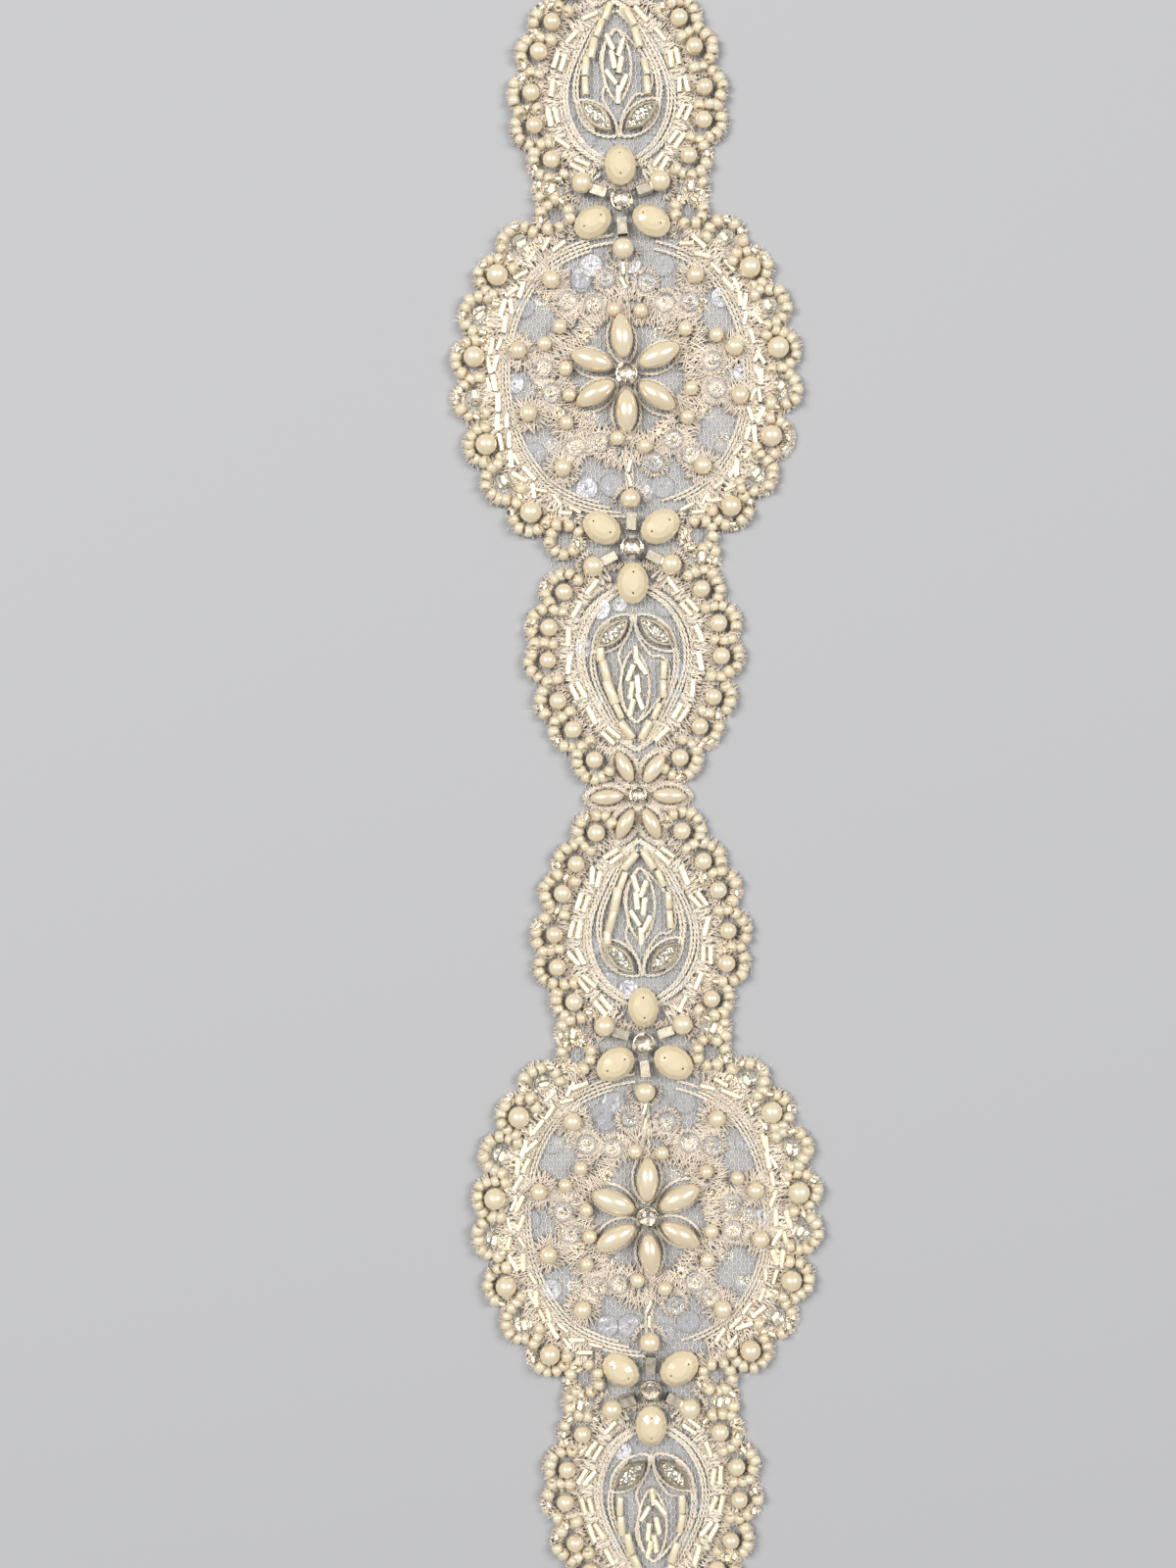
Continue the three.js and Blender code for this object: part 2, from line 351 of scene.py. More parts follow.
def sequin_material():
    material, tree, shader = new_material("clear_sequin")
    group = varied(tree, shader, (0.70, 0.73, 0.82), (0.84, 0.80, 0.82), cloud=700.0, own=0.5)
    thin = {"Value": group.outputs["Factor"], "To Min": 0.06, "To Max": 0.26}
    tree.links.new(node(tree, "ShaderNodeMapRange", thin), shader.inputs["Alpha"])
    fuzzy(tree, shader, scale=600.0, depth=1.0, distance=0.4)
    set_shader(shader, Roughness=0.24, Metallic=0.2, Specular_IOR_Level=0.5)
    set_shader(shader, Coat_Weight=0.6, Coat_Roughness=0.08)
    return material


CLEAR_GLASS = glass_material("clear_glass", (0.98, 0.96, 0.90), roughness=0.03)
CUT_GLASS = glass_material("cut_glass", (0.99, 0.97, 0.95), roughness=0.0)
LINING = silver_material("silver_lining", (0.82, 0.78, 0.70), (0.60, 0.55, 0.46), scale=1500.0, metal=0.4)
GREY_SILVER = silver_material("grey_silver", (0.44, 0.42, 0.39), (0.26, 0.24, 0.22), scale=900.0, metal=0.6)
FOILED = silver_material("crystal_foil", (0.66, 0.61, 0.54), (0.22, 0.19, 0.15), scale=2200.0)
CHIPPED = silver_material("bright_chips", (0.80, 0.76, 0.66), (0.30, 0.26, 0.19), scale=2200.0)
SETTING = silver_material("dull_setting", (0.70, 0.64, 0.52), (0.38, 0.33, 0.23), scale=1100.0)
# The film edge's dull grey is painted shade: it darkens each clear sequin's cut edge as bent light would.
SHADED_FILM_EDGE = silver_material("film_edge", (0.52, 0.50, 0.46), (0.26, 0.24, 0.22), scale=900.0, metal=0.3)
SEQUIN = sequin_material()
print("materials:", len(bpy.data.materials))

# %% [markdown]
# ## Geometry Nodes for what repeats
#
# Thousands of stitches and beads aren't modelled one by one. One shape and a rule for its copies
# make them all. Six small node trees hold the rules. Each has named inputs and a seed. The helpers
# here are steps that several trees share, so that a tree reads as a short list of what is done.


# %% Geometry tree helpers
# So fine a thread looks round with three sides.
THREAD_SIDES = 3


def geometry_tree(name, inputs):
    """Every tree takes a geometry and a material besides its own inputs."""
    labels = {"Geometry": "geometry", **inputs, "Material": "material"}
    return new_tree(name, "GeometryNodeTree", labels, {"Geometry": "geometry"})


def finish_tree(tree, geometry, ins, outs):
    """Every tree ends the same way: real geometry, in its material."""
    real = node(tree, "GeometryNodeRealizeInstances", {"Geometry": geometry})
    done = node(tree, "GeometryNodeSetMaterial", {"Geometry": real, "Material": ins["Material"]})
    tree.links.new(done, outs["Geometry"])


def maths(tree, operation, a, b=0.0):
    return node(tree, "ShaderNodeMath", {0: a, 1: b}, operation=operation)


def times(tree, a, b):
    return maths(tree, "MULTIPLY", a, b)


def xyz(tree, x=0.0, y=0.0, z=0.0):
    return node(tree, "ShaderNodeCombineXYZ", {0: x, 1: y, 2: z})


def together(tree, first, second):
    return node(tree, "ShaderNodeVectorMath", {0: first, 1: second})


def scaled(tree, vector, amount):
    return node(tree, "ShaderNodeVectorMath", {0: vector, "Scale": amount}, operation="SCALE")


def moved(tree, geometry, offset):
    return node(tree, "GeometryNodeSetPosition", {"Geometry": geometry, "Offset": offset})


def between(tree, ins, k, low, high):
    """A random number for each point. Each `k` is another draw from the tree's own seed."""
    seed = maths(tree, "ADD", ins["Seed"], k)
    return node(tree, "FunctionNodeRandomValue", {2: low, 3: high, "Seed": seed}, out=1)


def either_way(tree, ins, k, reach):
    return between(tree, ins, k, times(tree, reach, -1), reach)


def tinted(tree, ins, geometry, low=0.0, domain="POINT"):
    """Stores each point's or each copy's own `tint`, which the materials read."""
    sockets = {"Geometry": geometry, "Name": "tint", "Value": between(tree, ins, 0, low, 1.0)}
    return node(tree, "GeometryNodeStoreNamedAttribute", sockets, domain=domain)


def swept(tree, curve, radius, closed_ends=False):
    """A thread along a curve."""
    profile = node(tree, "GeometryNodeCurvePrimitiveCircle", {"Resolution": THREAD_SIDES, "Radius": radius})
    sockets = {"Curve": curve, "Profile Curve": profile, "Fill Caps": closed_ends}
    return node(tree, "GeometryNodeCurveToMesh", sockets)


print("a thread has", THREAD_SIDES, "sides")

# %% [markdown]
# ## Tulle
#
# Tulle is machine-made net with six-sided cells. A picture of net on a flat sheet would be lighter,
# but from the side it would look like paper, and it would cast no shadow of threads. So every strand
# is real here. A grid whose rows are shifted by half a cell and split into triangles has six-sided
# cells as its dual: each of its corners becomes a cell. The grid is turned so that the long way of
# the cells runs along the strip, and then pulled a little out of true. A ray from above keeps only
# what lies over the solid of the net, with a frayed edge, because net is cut and never hemmed. Each
# edge of the mesh becomes a strand with open ends.


# %% Tree: tulle
# The rows are numbered from far below the middle, so that no number is negative.
FIRST_ROW = 1000.25


def make_tulle():
    inputs = {
        "Outline": "object",
        "Cell Length": 1.64 * MM,
        "Row Pitch": 0.8 * MM,
        "Columns": 212,
        "Rows": 90,
        "Strand Radius": 0.09 * MM,
        "Unevenness": 0.3 * MM,
        "Fray": 1.6 * MM,
        "Height": 0.3 * MM,
        "Seed": 11,
    }
    tree, ins, outs = geometry_tree("tulle", inputs)
    wide = times(tree, ins["Cell Length"], maths(tree, "SUBTRACT", ins["Columns"], 1))
    tall = times(tree, ins["Row Pitch"], maths(tree, "SUBTRACT", ins["Rows"], 1))
    sizes = {"Size X": wide, "Size Y": tall, "Vertices X": ins["Columns"], "Vertices Y": ins["Rows"]}
    grid = node(tree, "GeometryNodeMeshGrid", sizes)
    # Every other row moves half a cell sideways.
    place = node(tree, "GeometryNodeInputPosition")
    height = node(tree, "ShaderNodeSeparateXYZ", {0: place}, out=1)
    row = maths(tree, "ADD", maths(tree, "DIVIDE", height, ins["Row Pitch"]), FIRST_ROW)
    odd = maths(tree, "MODULO", maths(tree, "FLOOR", row), 2)
    half_cell = times(tree, times(tree, odd, ins["Cell Length"]), 0.5)
    shifted = moved(tree, grid, xyz(tree, x=half_cell))
    split = node(tree, "GeometryNodeTriangulate", {0: shifted}, quad_method="SHORTEST_DIAGONAL")
    cells = node(tree, "GeometryNodeDualMesh", {0: split})
    quarter_turn = {"Geometry": cells, "Rotation": (0, 0, math.pi / 2)}
    lengthwise = node(tree, "GeometryNodeTransform", quarter_turn)
    # Soft, wide pulls in the net, and its height over the ground.
    cloud = node(tree, "ShaderNodeTexNoise", {"Scale": 260.0, "Detail": 1.0}, out="Color")
    pull = scaled(tree, together(tree, cloud, (-0.5, -0.5, -0.5)), ins["Unevenness"])
    uneven = moved(tree, lengthwise, together(tree, pull, xyz(tree, z=ins["Height"])))
    # Only what lies over the net's solid stays.
    reach = times(tree, ins["Fray"], 0.5)
    fray = xyz(tree, either_way(tree, ins, 0, reach), either_way(tree, ins, 1, reach), 1.0)
    target = node(tree, "GeometryNodeObjectInfo", {"Object": ins["Outline"]}, out="Geometry")
    above = together(tree, place, fray)
    down = (0, 0, -1)
    ray = {"Target Geometry": target, "Source Position": above, "Ray Direction": down, "Ray Length": 2.0}
    hit = node(tree, "GeometryNodeRaycast", ray, out="Is Hit")
    missed = node(tree, "FunctionNodeBooleanMath", {0: hit}, operation="NOT")
    cut = node(tree, "GeometryNodeDeleteGeometry", {"Geometry": uneven, "Selection": missed})
    edges = node(tree, "GeometryNodeMeshToCurve", {0: tinted(tree, ins, cut)})
    finish_tree(tree, swept(tree, edges, ins["Strand Radius"]), ins, outs)
    return tree


TULLE = make_tulle()
print("tulle:", len(TULLE.nodes), "nodes")

# %% [markdown]
# ## The net
#
# The net is the sheet that carries everything, so it is the first piece. `run_tree` puts a tree on
# a source mesh as a modifier, sets the tree's inputs by their identifiers, takes the result as a
# plain mesh and throws the source away. `keep` closes every piece: it hangs the piece on what it
# rides on, and hides the solids that it stands for. The net takes the place of its own solid.


# %% Piece: net
HELPERS = []


def in_scene(name, data):
    made = bpy.data.objects.new(name, data)
    bpy.context.scene.collection.objects.link(made)
    return made


def hidden(mesh):
    """An object for Geometry Nodes to copy. It is taken away again at the end."""
    holder = in_scene(mesh.name, mesh)
    HELPERS.append(holder)
    return holder


def run_tree(name, source, tree, material, **values):
    holder = in_scene(name + "_source", source)
    modifier = holder.modifiers.new(tree.name, "NODES")
    modifier.node_group = tree
    wanted = {key.replace("_", " "): value for key, value in values.items()}
    wanted["Material"] = material
    for item in tree.interface.items_tree:
        if item.in_out == "INPUT" and item.name in wanted:
            modifier[item.identifier] = wanted.pop(item.name)
    assert not wanted, f"{tree.name} has no input {sorted(wanted)}"
    graph = bpy.context.evaluated_depsgraph_get()
    evaluated = holder.evaluated_get(graph)
    mesh = bpy.data.meshes.new_from_object(evaluated, preserve_all_data_layers=True, depsgraph=graph)
    holder.modifiers.remove(modifier)
    bpy.data.objects.remove(holder)
    mesh.name = name
    return in_scene(name, mesh)


def keep(piece, slot, *nodes):
    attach(piece, "root")
    if nodes:
        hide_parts(*nodes)


net_solid = bpy.data.objects["net_ground"]
outline = hidden(net_solid.data.copy())
outline.name = "outline_of_net"
net = run_tree("net", bpy.data.meshes.new("empty"), TULLE, NET_THREAD, Outline=outline)
keep(net, "net", "net_ground")

# %% [markdown]
# ## The edge of the leaf medallions
#
# The border is a row of small scallops. Each holds a pearl, a crystal bead or an open loop. The
# bead, the seeds looped round it and the stitches under it could be placed one by one, but then
# they would drift apart. So one list of cells serves them all. A leaf medallion is measured on one
# side and mirrored, and each of its cells faces straight out of the line of its neighbours.


# %% Measures: the edge of the leaf medallions
SIDES = (1, -1)
# (out, along) of the cells on the right-hand side.
LEAF_EDGE = ((8.1, 6.9), (12.0, 12.7), (14.7, 18.2), (16.4, 25.9), (16.0, 32.1), (13.0, 38.7))
# A loop of seeds: its radius, and its sweep to each side in degrees.
LEAF_LOOP = (3.45, 112)


def facing(place, out, along, towards_out, towards_along):
    """A direction in a medallion as degrees from +X."""
    way = place.at(out + towards_out, along + towards_along) - place.at(out, along)
    return math.degrees(math.atan2(way.y, way.x))


def leaf_edge():
    """Each cell is (place, facing in degrees, kind, radius and sweep of its loop of seeds)."""
    cells = []
    for leaf in LEAVES:
        for side in SIDES:
            for i, (out, along) in enumerate(LEAF_EDGE):
                before, after = LEAF_EDGE[max(i - 1, 0)], LEAF_EDGE[min(i + 1, len(LEAF_EDGE) - 1)]
                turn = facing(leaf, side * out, along, side * (after[1] - before[1]), before[0] - after[0])
                cells.append((leaf.at(side * out, along), turn, "small pearl", *LEAF_LOOP))
    return cells


print("cells on the leaf medallions:", len(leaf_edge()))

# %% [markdown]
# ## The edge of the round medallions
#
# A round medallion isn't quite round: its edge is a little further out near the diagonals. Eight
# cells a side take turns between crystal beads and pearls, and an open loop fills each corner
# beside a rosette. A crystal bead also stands on the net at each side of a rosette. One of those
# has come off, as hand-sewn beads do.


# %% Measures: the edge of the round medallions
DIAGONAL = 53.2
# Directions in degrees from the right-hand side, mirrored for the left.
ROUND_EDGE = (52.5, 39.0, 24.0, 8.0, -7.0, -25.0, -39.5, -53.5)
OPEN_LOOPS = (67.5, -67.5)
OPEN_LOOP_OUT = 33.2
# How far out the cells stand at the waist, and how much further at the diagonals.
EDGE_WAIST = 28.9
EDGE_MORE = 2.9
# Loops of seeds: radius, and sweep to each side in degrees.
ROUND_LOOP = (3.4, 116)
OPEN_LOOP = (2.8, 170)
ROSETTE_LOOP = (2.5, 75)
# (out, along) beside a rosette, and the number and side of the one that is lost.
ROSETTE_BEAD = (13.2, 2.3)
LOST_BEAD = (2, -1)


def squarish(waist, more, degrees):
    """The radius of a circle that is a little further out near its diagonals."""
    share = (math.sin(math.radians(degrees)) / math.sin(math.radians(DIAGONAL))) ** 2
    return waist + more * min(1.0, share)


def mirrored(degrees, side):
    return degrees if side > 0 else 180 - degrees


def round_edge():
    cells = []
    for ring in ROUNDS:
        for side in SIDES:
            spots = []
            for i, degrees in enumerate(ROUND_EDGE):
                kind = ("crystal", "pearl")[i % 2]
                spots.append((squarish(EDGE_WAIST, EDGE_MORE, degrees), degrees, kind, *ROUND_LOOP))
            spots += [(OPEN_LOOP_OUT, degrees, "open", *OPEN_LOOP) for degrees in OPEN_LOOPS]
            for radius, degrees, kind, loop, sweep in spots:
                angle = mirrored(degrees, side)
                turn = math.degrees(ring.heading(angle))
                cells.append((ring.polar(radius, angle), turn, kind, loop, sweep))
    return cells


def rosette_edge():
    cells = []
    for number, rosette in enumerate(ROSETTE_PLACES):
        for side in SIDES:
            if (number, side) != LOST_BEAD:
                out, along = side * ROSETTE_BEAD[0], ROSETTE_BEAD[1]
                turn = facing(rosette, out, along, side, 0)
                cells.append((rosette.at(out, along), turn, "crystal", *ROSETTE_LOOP))
    return cells


EDGE = leaf_edge() + round_edge() + rosette_edge()
# The pearls among them, with their radius.
EDGE_PEARLS = {"pearl": 2.0, "small pearl": 1.65}
print("edge cells:", len(EDGE), "of which pearls:", sum(cell[2] in EDGE_PEARLS for cell in EDGE))

# %% [markdown]
# ## Sewn pieces
#
# Most large beads are sewn on singly. They could be duplicated by hand, but then a change to one
# shape would mean doing all of them again. So the source is a mesh of single points, each with its
# own `turn` and `size`. The tree puts one copy of a shape on every point, turned and scaled so, and
# then tilts each copy a little, because a bead on a thread never lies quite straight.


# %% Tree: sewn pieces
def named(tree, name, kind="FLOAT"):
    """A number that the source mesh carries."""
    return node(tree, "GeometryNodeInputNamedAttribute", {"Name": name}, data_type=kind, out="Attribute")


def rotation(tree, x=0.0, y=0.0, z=0.0):
    return node(tree, "FunctionNodeEulerToRotation", {0: xyz(tree, x, y, z)})


def turned_by(tree, first, own):
    """A rotation followed by another one in the copy's own frame."""
    sockets = {"Rotation": first, "Rotate By": own}
    return node(tree, "FunctionNodeRotateRotation", sockets, rotation_space="LOCAL")


def copies_on(tree, ins, outs, shape, points, turn, scale, chosen=True):
    """Ends a tree with one copy of a shape on each chosen point."""
    copied = node(tree, "GeometryNodeObjectInfo", {"Object": ins[shape]}, out="Geometry")
    sockets = {"Points": points, "Selection": chosen, "Instance": copied, "Rotation": turn, "Scale": scale}
    copies = node(tree, "GeometryNodeInstanceOnPoints", sockets)
    finish_tree(tree, tinted(tree, ins, copies, domain="INSTANCE"), ins, outs)


def make_sewn():
    inputs = {"Shape": "object", "Size Spread": 0.03, "Wobble": 0.08, "Seed": 51}
    tree, ins, outs = geometry_tree("sewn_pieces", inputs)
    tilt = [either_way(tree, ins, k, ins["Wobble"]) for k in (1, 2, 3)]
    turn = turned_by(tree, rotation(tree, z=named(tree, "turn")), rotation(tree, *tilt))
    nearly = maths(tree, "ADD", either_way(tree, ins, 0, ins["Size Spread"]), 1)
    copies_on(tree, ins, outs, "Shape", ins["Geometry"], turn, times(tree, named(tree, "size"), nearly))
    return tree


SEWN = make_sewn()
print("sewn pieces:", len(SEWN.nodes), "nodes")

# %% [markdown]
# ## Turned shapes
#
# A bead, a bugle and a cup are all turned shapes. Blender's own spheres and cylinders have no hole
# and no rounded rim, so one function turns a profile round the Z axis instead. A closed profile
# makes a ring, such as a bead with its hole. The first shape is a ball with a drilled hole: its
# profile dips in at both ends. Beads are threaded flat on the net, so most are laid on their side.


# %% Shape: a drilled ball
def mesh_from(name, points, faces, smooth=True):
    """A clean mesh from points in millimetres."""
    mesh = bpy.data.meshes.new(name)
    mesh.from_pydata([Vector(p) * MM for p in points], [], faces)
    work = bmesh.new()
    work.from_mesh(mesh)
    bmesh.ops.remove_doubles(work, verts=work.verts, dist=1e-7)
    bmesh.ops.recalc_face_normals(work, faces=work.faces)
    work.to_mesh(mesh)
    work.free()
    mesh.polygons.foreach_set("use_smooth", [smooth] * len(mesh.polygons))
    return mesh


def turned(name, profile, sides, closed=False, smooth=True, squash=1.0):
    """Turns (radius, height) pairs round Z."""
    points, faces = [], []
    for radius, height in profile:
        for k in range(sides):
            angle = 2 * math.pi * k / sides
            points.append((radius * math.cos(angle), squash * radius * math.sin(angle), height))
    rows = len(profile)
    for i in range(rows if closed else rows - 1):
        low, high = i * sides, (i + 1) % rows * sides
        for k in range(sides):
            after = (k + 1) % sides
            faces.append((low + k, low + after, high + after, high + k))
    return mesh_from(name, points, faces, smooth)


def lying(name, profile, sides, closed=False, smooth=True):
    """A turned shape laid down, with its hole along X."""
    shape = turned(name, profile, sides, closed, smooth)
    shape.transform(Matrix.Rotation(math.pi / 2, 4, "Y"))
    return hidden(shape)


BALL_ARC = [math.radians(degrees) for degrees in (-76, -58, -38, -19, 0, 19, 38, 58, 76)]
BALL = [(0.12, -0.86), *[(math.cos(angle), math.sin(angle)) for angle in BALL_ARC], (0.12, 0.86)]
PEARL_BALL = lying("pearl_ball", [(0.0, -0.6), *BALL, (0.0, 0.6)], sides=18)
print("a pearl has", len(PEARL_BALL.data.vertices), "corners")

# %% [markdown]
# ## Pearls
#
# The round pearls are glass balls coated many times in pearl essence. They are 4 mm across on the
# edge of the round medallions, 3.3 mm on the edge of the leaf medallions, and 3.3 mm or less where
# they are scattered over the embroidery. Three more stand round each rosette. All are one ball,
# scaled, so that every pearl shows its drilled hole somewhere, turned another way than the next.


# %% Piece: pearls
ROSETTE_TILT = 25
SIDE_PEARL_REACH = 8.1
END_PEARL_REACH = 9.1
ROSETTE_PEARL = 1.95
# Pearls on a round medallion's embroidery: (radius, angle).
RINGED_PEARLS = (
    (22.8, 127), (22.7, 53.5), (21.0, 166), (21.0, 12.5),
    (20.0, 200), (21.8, -12.5), (21.4, 234), (22.5, -52),
)
SMALL_PEARLS = (
    (11.6, 173), (11.5, 198), (12.4, -14), (14.6, 217), (14.0, -37), (12.2, 260), (14.0, -77.5),
    (12.5, 99.6), (12.3, 76), (15.5, 143), (14.0, 36), (16.6, 158), (18.5, 22),
)
SCATTERED_PEARLS = ((RINGED_PEARLS, 1.65), (SMALL_PEARLS, 1.35))


def raised(point, height):
    return Vector((point.x, point.y, height * MM))


def point_mesh(name, rows):
    """Single points for what is sewn on, from rows of (place, turn in radians, size)."""
    mesh = bpy.data.meshes.new(name)
    mesh.from_pydata([row[0] for row in rows], [], [])
    for key, column in (("turn", 1), ("size", 2)):
        mesh.attributes.new(key, "FLOAT", "POINT").data.foreach_set("value", [row[column] for row in rows])
    return mesh


def sew(name, rows, shape, finish, slot, nodes=(), **values):
    """Sews a shape on at every row, and keeps the piece."""
    points = point_mesh(name + "_points", rows)
    keep(run_tree(name, points, SEWN, finish, Shape=shape, **values), slot, *nodes)


def pearl_rows():
    rows = []
    for place, turn, kind, _, _ in EDGE:
        if kind in EDGE_PEARLS:
            size = EDGE_PEARLS[kind]
            rows.append((raised(place, size + 1.0), math.radians(turn + 60), size))
    for ring in ROUNDS:
        for spots, size in SCATTERED_PEARLS:
            for radius, angle in spots:
                rows.append((ring.polar(radius, angle, size + 1.0), ring.heading(angle + 40), size))
    for rosette in ROSETTE_PLACES:
        rows.append((rosette.at(0, -END_PEARL_REACH, 3.0), 0.3, ROSETTE_PEARL))
        for side in SIDES:
            spot = rosette.polar(SIDE_PEARL_REACH, mirrored(ROSETTE_TILT, side), 3.0)
            rows.append((spot, math.radians(ROSETTE_TILT), ROSETTE_PEARL))
    return rows


sew("pearls", pearl_rows(), PEARL_BALL, PEARL, "pearl", Wobble=0.25)

# %% [markdown]
# ## Strung beads
#
# Seed beads follow a thread: one bead a pitch, its hole along the thread, each a little larger,
# smaller or more tilted than the next. An array along a curve would make them all alike, so a tree
# places them. Two kinds can share one string, because a bead is only made where its random number
# falls in the tree's range: the same string and seed with the other range gives the rest. Where two
# loops meet, their beads would sit in one another, so places closer than a bead are merged first.
# Each point keeps the direction of its own thread through that.


# %% Tree: strung beads
# How far a bead slips off its thread, for a wobble of 1.
BEAD_SLIP = 0.45 * MM


def smooth_path(tree, geometry, step):
    """A soft curve through a path's points, with a point at every step."""
    curve = node(tree, "GeometryNodeMeshToCurve", {0: geometry})
    soft = node(tree, "GeometryNodeCurveSplineType", {0: curve}, spline_type="CATMULL_ROM")
    return node(tree, "GeometryNodeResampleCurve", {"Curve": soft, "Length": step}, mode="LENGTH")


def make_strung():
    inputs = {
        "Bead": "object",
        "Pitch": 1.95 * MM,
        "Least Apart": 1.35 * MM,
        "Size Spread": 0.1,
        "Wobble": 0.3,
        "From Share": 0.0,
        "To Share": 1.0,
        "Seed": 41,
    }
    tree, ins, outs = geometry_tree("strung_beads", inputs)
    path = smooth_path(tree, ins["Geometry"], ins["Pitch"])
    points = node(tree, "GeometryNodeCurveToPoints", {"Curve": path}, mode="EVALUATED")
    stored = {"Geometry": points, "Name": "along", "Value": points.node.outputs["Tangent"]}
    kept = node(tree, "GeometryNodeStoreNamedAttribute", stored, data_type="FLOAT_VECTOR")
    apart = {"Geometry": kept, "Distance": ins["Least Apart"]}
    merged = node(tree, "GeometryNodeMergeByDistance", apart)
    wobble = ins["Wobble"]
    slip = [times(tree, either_way(tree, ins, k, wobble), BEAD_SLIP) for k in (5, 6, 7)]
    loose = moved(tree, merged, xyz(tree, *slip))
    along = {"Vector": named(tree, "along", "FLOAT_VECTOR")}
    laid = node(tree, "FunctionNodeAlignRotationToVector", along, axis="Z")
    tilt = [either_way(tree, ins, k, wobble) for k in (1, 2)]
    turn = turned_by(tree, laid, rotation(tree, *tilt, between(tree, ins, 3, 0.0, math.tau)))
    size = maths(tree, "ADD", either_way(tree, ins, 0, ins["Size Spread"]), 1)
    lot = between(tree, ins, 4, 0.0, 1.0)
    from_low = node(tree, "FunctionNodeCompare", {0: lot, 1: ins["From Share"]}, operation="GREATER_EQUAL")
    to_high = node(tree, "FunctionNodeCompare", {0: lot, 1: ins["To Share"]}, operation="LESS_THAN")
    chosen = node(tree, "FunctionNodeBooleanMath", {0: from_low, 1: to_high}, operation="AND")
    copies_on(tree, ins, outs, "Bead", loose, turn, size, chosen)
    return tree


STRUNG = make_strung()
print("strung beads:", len(STRUNG.nodes), "nodes")

# %% [markdown]
# ## Seed beads
#
# Every edge pearl or crystal sits in an open loop of seed beads, strung on one thread that dips in
# between the loops. A seed bead is a slice of glass tube with its edges melted round. Most are
# cream with a pearl finish. About one in five is clear, with silver in its hole. The loops could be
# curve objects, but a mesh of edges can also carry numbers for the tree, such as the half width of
# an embroidered band. So every path is kept as a mesh of edges.


# %% Pieces: seed beads
SEED_PROFILE = [(0.38, -0.62), (0.82, -0.84), (1.12, -0.42), (1.12, 0.42), (0.82, 0.84), (0.38, 0.62)]
SEED = hidden(turned("seed", SEED_PROFILE, sides=8, closed=True))
SEED_LINING = hidden(turned("seed_lining", [(0.345, -0.62), (0.345, 0.62)], sides=6))
CLEAR_SHARE = 0.18


def ways(turn):
    """Two flat directions: along a heading, and across it."""
    return Vector((math.cos(turn), math.sin(turn), 0)), Vector((-math.sin(turn), math.cos(turn), 0))


def steps(start, end, step):
    """Even numbers from start to end, at least three of them."""
    count = max(3, math.ceil(abs(end - start) / step) + 1)
    return [start + (end - start) * i / (count - 1) for i in range(count)]


def arc_round(centre, radius, turn, sweep, height):
    """An arc round a place: `turn` is its middle direction, `sweep` its reach to each side."""
    path = []
    for share in steps(0, 2 * sweep, 20.0):
        along, _ = ways(math.radians(turn - sweep + share))
        path.append(raised(centre + along * radius * MM, height))
    return path


def path_mesh(name, paths, numbers=None):
    """Lines of points as a mesh of edges. `numbers` gives each line's value for each named attribute."""
    mesh = bpy.data.meshes.new(name)
    points, edges = [], []
    for path in paths:
        first = len(points)
        points += path
        edges += [(k, k + 1) for k in range(first, len(points) - 1)]
    mesh.from_pydata(points, edges, [])
    for key, values in (numbers or {}).items():
        spread = [value for value, path in zip(values, paths) for _ in path]
        mesh.attributes.new(key, "FLOAT", "POINT").data.foreach_set("value", spread)
    return mesh


LOOPS = [arc_round(place, loop, turn, sweep, 1.8) for place, turn, _, loop, sweep in EDGE]
STRINGS = dict(Pitch=1.68 * MM, Least_Apart=1.3 * MM, Wobble=0.55, Seed=41)


def string_up(name, shape, finish, slot, low, high):
    mesh = path_mesh(name + "_strings", LOOPS)
    keep(run_tree(name, mesh, STRUNG, finish, Bead=shape, From_Share=low, To_Share=high, **STRINGS), slot)


string_up("cream_seeds", SEED, CREAM_BEAD, "seed_bead", CLEAR_SHARE, 1.1)
string_up("clear_seeds", SEED, CLEAR_GLASS, "clear_bead", -0.1, CLEAR_SHARE)
string_up("clear_seed_linings", SEED_LINING, LINING, "silver", -0.1, CLEAR_SHARE)

# %% [markdown]
# ## Lines through a medallion
#
# Bugles, bands of stitches and cords all follow lines through the medallions. In a leaf medallion
# a line is a short list of places, measured on the right-hand side. In a round one it is an arc of
# the slightly square circle. To sew something on at even steps, `walk` goes along a line and gives
# a place and a heading at each step.


# %% Measures: lines
# The broad band of a leaf medallion: (out, along).
LEAF_BAND = (
    (3.6, 10.2), (7.6, 14.0), (10.6, 19.0), (12.4, 24.5),
    (12.6, 29.5), (11.2, 34.5), (8.5, 38.8), (5.5, 41.5),
)
LEAF_BUGLE_PITCH = 5.3
FIRST_BUGLE = 1.8


def line_in(place, line, side=1, height=0.6):
    return [place.at(side * out, along, height) for out, along in line]


def ring_line(ring, waist, more, start, end, height):
    """A line along a round medallion's slightly square circle, between two angles."""
    return [ring.polar(squarish(waist, more, angle), angle, height) for angle in steps(start, end, 6.0)]


def two_arcs(reach):
    """The ends of a round medallion's right-hand and left-hand arcs, in degrees."""
    return (-reach, reach), (180 + reach, 180 - reach)


def heading_between(a, b):
    return math.atan2(b.y - a.y, b.x - a.x)


def walk(points, step, start):
    """Places and headings at equal steps along a line of points. Step and start are in millimetres."""
    found, travelled, wanted = [], 0.0, start * MM
    for a, b in zip(points, points[1:]):
        span = (b - a).length
        while wanted <= travelled + span:
            found.append((a.lerp(b, (wanted - travelled) / span), heading_between(a, b)))
            wanted += step * MM
        travelled += span
    return found


print("steps on a leaf band:", len(walk(line_in(LEAVES[0], LEAF_BAND), LEAF_BUGLE_PITCH, FIRST_BUGLE)))

